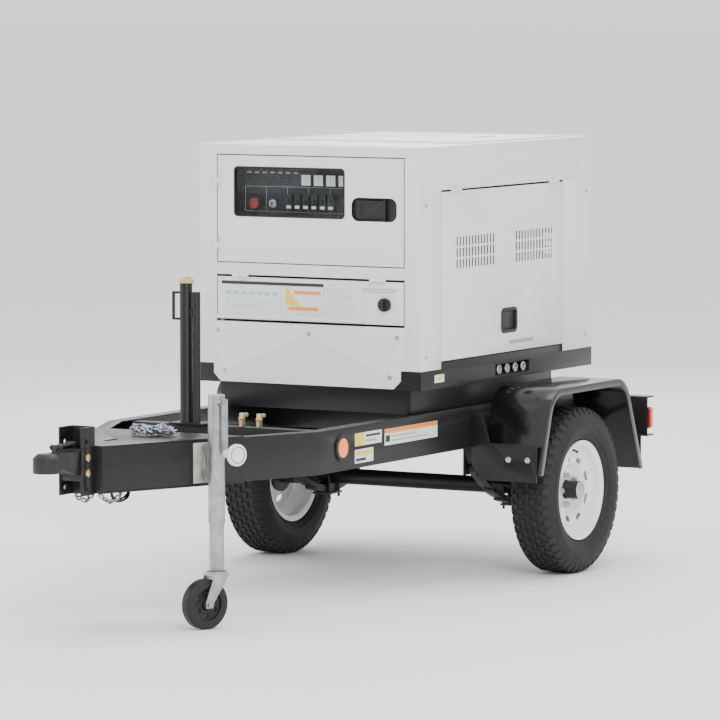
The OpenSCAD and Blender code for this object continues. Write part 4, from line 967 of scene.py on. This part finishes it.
# labels: plain blocks of colour
def labelOn(name, body, corner, across, up, out, size, blocks, thick=0.0004):
    # corner is the lower left; blocks are (left, bottom, right, top, slot) as fractions of the size
    bm = bmesh.new()
    across, up, out = Vector(across), Vector(up), Vector(out)

    def slab(l, b, r, t, h0, h1, slot):
        base = [Vector(corner) + across * size[0] * u + up * size[1] * v
                for u, v in ((l, b), (r, b), (r, t), (l, t))]
        loHi = [[bm.verts.new(p + out * h) for p in base] for h in (h0, h1)]
        faces = [bm.faces.new(loHi[0]), bm.faces.new(loHi[1])]
        for k in range(4):
            n = (k + 1) % 4
            faces.append(bm.faces.new((loHi[0][k], loHi[0][n], loHi[1][n], loHi[1][k])))
        for face in faces:
            face.material_index = slot
    slab(0, 0, 1, 1, 0.0, thick, 0)
    for l, b, r, t, slot in blocks:
        slab(l, b, r, t, thick * 0.6, thick * 1.3, slot)
    return addPiece(name, bm, body, labelInks)


labelInks = [mats[n] for n in ("labelWhite", "inkBlack", "labelYellow", "labelOrange", "inkGrey",
                               "labelGreen")]
flapLabel = [(0.0, 0.90, 0.76, 1.0, 1)]
flapLabel += [(0.03 + 0.058 * k, 0.58, 0.072 + 0.058 * k, 0.70, 5) for k in range(7)]
flapLabel += [(0.03 + 0.058 * k, 0.44, 0.060 + 0.058 * k, 0.455, 4) for k in range(7)]
flapLabel += [(0.03, 0.34 - 0.07 * k, 0.40 - 0.05 * k, 0.352 - 0.07 * k, 4) for k in range(3)]
flapLabel += [(0.54, 0.66, 0.74, 0.76, 3), (0.50, 0.16, 0.72, 0.27, 3), (0.56, 0.06, 0.72, 0.075, 4)]
flapLabel += [(0.78, 0.84 - 0.075 * k, 0.97 - 0.03 * (k % 3), 0.852 - 0.075 * k, 4) for k in range(10)]
flapLabel += [(0.76, 0.02, 0.763, 0.9, 4), (0.44, 0.02, 0.443, 0.9, 4)]
labelOn("ratingLabel", "flap", (flapLow[0] + 0.018, faceY, flapLow[2] + 0.020), (1, 0, 0), (0, 0, 1),
        (0, -1, 0), (0.560, 0.118), flapLabel)


def makeYellowPatch():
    bm = bmesh.new()
    x0, z0 = flapLow[0] + 0.285, flapLow[2] + 0.052
    corners = [(0, 0.075), (0, 0.006), (0.068, 0.0)]
    rings = [[bm.verts.new((x0 + x, faceY - h, z0 + z)) for x, z in corners] for h in (0.0003, 0.0007)]
    for k in range(3):
        n = (k + 1) % 3
        bm.faces.new((rings[0][k], rings[0][n], rings[1][n], rings[1][k]))
    bm.faces.new(rings[0])
    bm.faces.new(rings[1])
    addPiece("yellowPatch", bm, "flap", [mats["labelYellow"]])


makeYellowPatch()
labelOn("noteLines", "flap", (flapLow[0] + 0.600, faceY, flapHigh[2] - 0.055), (1, 0, 0), (0, 0, 1),
        (0, -1, 0), (0.150, 0.022), [(0.02, 0.62, 0.98, 0.8, 4), (0.02, 0.22, 0.9, 0.4, 4)], 0.0003)
railLabels = [
    ("railLabelLong", -0.045, 0.545, 0.385, 0.058,
     [(0.0, 0.72, 1.0, 1.0, 3), (0.02, 0.2, 0.10, 0.6, 1), (0.13, 0.45, 0.6, 0.55, 4),
      (0.13, 0.2, 0.8, 0.3, 4)]),
    ("railLabelShort", -0.256, 0.560, 0.19, 0.045,
     [(0.0, 0.0, 0.34, 1.0, 2), (0.4, 0.62, 0.94, 0.8, 1), (0.4, 0.25, 0.8, 0.4, 4)]),
    ("railLabelSmall", -0.256, 0.500, 0.13, 0.048,
     [(0.06, 0.55, 0.94, 0.85, 2), (0.06, 0.15, 0.6, 0.35, 1)]),
]
for name, y, z, wide, tall, blocks in railLabels:
    labelOn(name, "chassis", (railHalf, y, z), (0, 1, 0), (0, 0, 1), (1, 0, 0), (wide, tall), blocks)
stripY = faceY + 0.576
labelOn("roofStrap", "chassis", (sideX, stripY, roofZ + 0.036 - 0.085), (0, 1, 0), (0, 0, 1), (1, 0, 0),
        (0.084, 0.082), [], 0.0006)
labelOn("sideDoorLabel", "door_right", (sideX, faceY + 0.66, low("side_door_right")[2] + 0.020), (0, 1, 0),
        (0, 0, 1), (1, 0, 0), (0.20, 0.028), [(0.03, 0.25, 0.97, 0.75, 4)])
labelOn("baseLabel", "chassis", (sideX, faceY + 0.10, baseZ + 0.022), (0, 1, 0), (0, 0, 1), (1, 0, 0),
        (0.07, 0.028), [(0.1, 0.3, 0.9, 0.7, 2)])
print("labels made")


# shell trim
shellTrim = dict(bezelY=0.127, bezelZ=0.093, bezelRound=0.022)


def makeBezel(side):
    # rounded frame round the latch pocket in the side door
    y, z = (sideLatch[0][1] + sideLatch[1][1]) / 2, (sideLatch[0][2] + sideLatch[1][2]) / 2
    halfY, halfZ, turn = shellTrim["bezelY"] / 2, shellTrim["bezelZ"] / 2, shellTrim["bezelRound"]
    bm = bmesh.new()
    rings = []
    for inset, lift in ((0.0, 0.0), (0.0, 0.0014), (0.0025, 0.0026), (0.0115, 0.0026), (0.0135, 0.0),
                        (0.0135, -0.0008)):
        ring = []
        r = max(turn - inset, 0.006)
        for sy, sz, start in ((1, 1, 0), (-1, 1, 90), (-1, -1, 180), (1, -1, 270)):
            for k in range(7):
                a = math.radians(start + 90 * k / 6)
                ring.append(bm.verts.new((side * (sideX + lift),
                                          y + sy * (halfY - inset - r) + r * math.cos(a),
                                          z + sz * (halfZ - inset - r) + r * math.sin(a))))
        rings.append(ring)
    rings.append(rings[0])
    for first, second in zip(rings, rings[1:]):
        for k in range(len(first)):
            n = (k + 1) % len(first)
            bm.faces.new((first[k], first[n], second[n], second[k]))
    tag = "Right" if side > 0 else "Left"
    addPiece("latchBezel" + tag, bm, "door_right" if side > 0 else "door_left", [mats["blackPlastic"]],
             angle=50)


makeBezel(1)
makeBezel(-1)

screw = bmesh.new()
addLathe(screw, [(0.0, 0.0), (0.0085, 0.0), (0.0085, 0.0006), (0.0062, 0.0014), (0.0058, 0.0032),
                 (0.0045, 0.0042), (0.002, 0.0044), (0.0, 0.0030)], steps=18)
screwHead = template("screwHead", screw)
rearY = high("rear_panel")[1]
bandTop = high("rear_panel")[2]
rearPlaces = [(x, rearY - 0.0002, z) for x in (-sideX + 0.03, 0.0, sideX - 0.03)
              for z in (deckZ + 0.03, (deckZ + bandTop) / 2, bandTop - 0.03, bandTop + 0.09)]
copiesAt("rearScrews", screwHead, rearPlaces, "chassis", "boltSteel", (-math.pi / 2, 0, 0), 3.0, 5)
for side in (1, -1):
    places = [(side * (sideX - 0.0002), y, z) for z in (deckZ + 0.05, bandTop - 0.05)
              for y in (faceY + 0.035, rearY - 0.05)]
    copiesAt("sideScrewsRight" if side > 0 else "sideScrewsLeft", screwHead, places, "chassis", "boltSteel",
             (0, side * math.pi / 2, 0), 3.0, 7)
roofTop = high("roof_cover")[2]
bpy.data.objects.remove(screwHead)
print("screws placed")


# roof outlet
def makeOutlet():
    pipeHigh = high("muffler")
    x, y = pipeHigh[0] - 0.062, pipeHigh[1] - 0.026
    bm = bmesh.new()
    z = roofTop - 0.005
    addLathe(bm, [(0.0425, -0.004), (0.066, -0.0002), (0.066, 0.0022), (0.060, 0.0040), (0.046, 0.0046),
                  (0.0425, 0.003), (0.0425, -0.004)], (x, y, z), (0, 0, 1))
    addPiece("outletRing", bm, "chassis", [mats["blackPlastic"]])


makeOutlet()


# control panel
panelLook = dict(dials=4, lamps=7, breakers=6)


def makePanel():
    backY = low("key_switch")[1] + 0.030
    x0, x1 = paneLow[0] + 0.010, paneHigh[0] - 0.010
    z0, z1 = paneLow[2] + 0.010, paneHigh[2] - 0.010
    face = bmesh.new()
    addBlock(face, (x0 + 0.020, backY - 0.0022, z0 + 0.108), (x0 + 0.255, backY - 0.0002, z0 + 0.168), 0)
    for k in range(panelLook["lamps"]):
        x = x0 + 0.030 + 0.032 * k
        addBlock(face, (x - 0.009, backY - 0.0032, z0 + 0.150), (x + 0.009, backY - 0.0022, z0 + 0.156), 1)
    for z in (z0 + 0.1035, z0 + 0.018):
        addBlock(face, (x0 + 0.014, backY - 0.0016, z), (x1 - 0.014, backY - 0.0002, z + 0.0014), 1)
    for k in range(5):
        x = x0 + 0.014 + 0.086 * k
        addBlock(face, (x, backY - 0.0016, z0 + 0.018), (x + 0.0014, backY - 0.0002, z0 + 0.104), 1)
    addPiece("panelFace", face, "chassis", [mats["panelGrey"], mats["inkGrey"]])
    for k in range(panelLook["dials"]):
        x = x0 + 0.270 + 0.050 * k
        dial = bmesh.new()
        at = (x, backY - 0.012, z0 + 0.130)
        addBlock(dial, (x - 0.0222, backY - 0.0145, at[2] - 0.0222),
                 (x + 0.0222, backY - 0.0122, at[2] + 0.0222), 0)
        addBlock(dial, (x - 0.0182, backY - 0.0152, at[2] - 0.0182),
                 (x + 0.0182, backY - 0.0144, at[2] + 0.0182), 1)
        for j in range(9):
            a = math.radians(45 + 90 * j / 8)
            r0, r1 = 0.020, 0.0235
            c = Vector((x + (r0 + r1) / 2 * math.cos(a), 0, at[2] - 0.012 + (r0 + r1) / 2 * math.sin(a)))
            addBlock(dial, (c.x - 0.0005, backY - 0.0156, c.z - 0.0015),
                     (c.x + 0.0005, backY - 0.0151, c.z + 0.0015), 2)
        addBlock(dial, (x - 0.0005, backY - 0.0157, at[2] - 0.012),
                 (x + 0.0005, backY - 0.0151, at[2] + 0.008), 2)
        addPiece(f"dial{k}", dial, "chassis", [mats["blackPlastic"], mats["dialWhite"], mats["inkBlack"]],
                 round=0.0004)
    lever = bmesh.new()
    for k in range(panelLook["breakers"]):
        x = x0 + 0.190 + 0.034 * k + 0.013
        addBlock(lever, (x - 0.004, backY - 0.030, z0 + 0.050), (x + 0.004, backY - 0.0225, z0 + 0.064), 0)
        addBlock(lever, (x - 0.009, backY - 0.0232, z0 + 0.032), (x + 0.009, backY - 0.0222, z0 + 0.042), 1)
    addPiece("breakerLevers", lever, "chassis", [mats["blackPlastic"], mats["dialWhite"]], round=0.001)


makePanel()


def makeGasket():
    # rubber seal round the door's window, behind its opening
    x0, x1 = paneLow[0] + 0.010, paneHigh[0] - 0.010
    z0, z1 = paneLow[2] + 0.010, paneHigh[2] - 0.010
    bm = bmesh.new()
    for edge, radius, y in ((0.0, 0.016, faceY + 0.0004), (0.0, 0.016, faceY - 0.0008),
                            (0.006, 0.012, faceY - 0.0008), (0.006, 0.012, faceY + 0.0026)):
        ring = []
        for cx, cz, start in ((x1, z1, 0), (x0, z1, 90), (x0, z0, 180), (x1, z0, 270)):
            sx, sz = (-1 if cx == x1 else 1), (-1 if cz == z1 else 1)
            for k in range(7):
                a = math.radians(start + 90 * k / 6)
                ring.append(bm.verts.new((cx + sx * (edge + radius) + radius * math.cos(a), y,
                                          cz + sz * (edge + radius) + radius * math.sin(a))))
        if edge or y < faceY:
            for k in range(len(ring)):
                n = (k + 1) % len(ring)
                bm.faces.new((last[k], last[n], ring[n], ring[k]))
        else:
            first = ring
        last = ring
    for k in range(len(first)):
        n = (k + 1) % len(first)
        bm.faces.new((last[k], last[n], first[n], first[k]))
    addPiece("windowSeal", bm, "panel_door", [mats["blackPlastic"]], angle=60)


makeGasket()
print("control panel made")


# sockets in the base
def makeSockets():
    for side in (1, -1):
        bm = bmesh.new()
        for k in range(4):
            at = (side * (sideX - 0.009), faceY + 0.600 + 0.062 * k, baseZ + 0.034)
            addLathe(bm, [(0.0155, 0.0), (0.0175, 0.0), (0.0175, 0.004), (0.016, 0.0055), (0.0125, 0.0055),
                          (0.0125, 0.001), (0.0, 0.001)], at, (side, 0, 0), 32, 0)
            for j in range(3):
                a = math.radians(90 + 120 * j)
                pin = (at[0], at[1] + 0.006 * math.cos(a), at[2] + 0.006 * math.sin(a))
                addLathe(bm, [(0.0016, 0.0), (0.0016, 0.0045), (0.0, 0.0048)], pin, (side, 0, 0), 10, 1)
        addPiece("plugSocketsRight" if side > 0 else "plugSocketsLeft", bm, "chassis",
                 [mats["boltSteel"], mats["yellowZinc"]])


makeSockets()


# jack trim
gripTrim = dict(discOut=0.1225)


def makeGripDisc():
    joints = frame["record"]["behaviour"]["joints"]
    turn = next(j for j in joints if j["name"] == "grip_turn")
    axis = Vector(turn["axis"])
    at = Vector(turn["pos_m"]) + axis * gripTrim["discOut"]
    bm = bmesh.new()
    addLathe(bm, [(0.0, 0.0001), (0.031, 0.0001), (0.031, 0.0006), (0.022, 0.0008), (0.0, 0.0009)],
             at, axis, 48, 0)
    addLathe(bm, [(0.0255, 0.0007), (0.0255, 0.0012), (0.0285, 0.0012), (0.0285, 0.0007)], at, axis, 48, 1)
    addPiece("gripDisc", bm, "grip", [mats["labelWhite"], mats["inkBlue"]])


makeGripDisc()


# tyre valves
for side in (1, -1):
    bm = bmesh.new()
    at = (side * (wheelAt[0] + 0.020), wheelAt[1], wheelAt[2] + 0.150)
    addLathe(bm, [(0.0, 0.0), (0.0055, 0.0), (0.005, 0.012), (0.0036, 0.016), (0.0036, 0.026),
                  (0.0044, 0.0265), (0.0044, 0.034), (0.0, 0.035)], at, (side, 0, -0.35), 16)
    addPiece("valveRight" if side > 0 else "valveLeft", bm, "wheel_right" if side > 0 else "wheel_left",
             [mats["blackPlastic"]])
print("trim made")
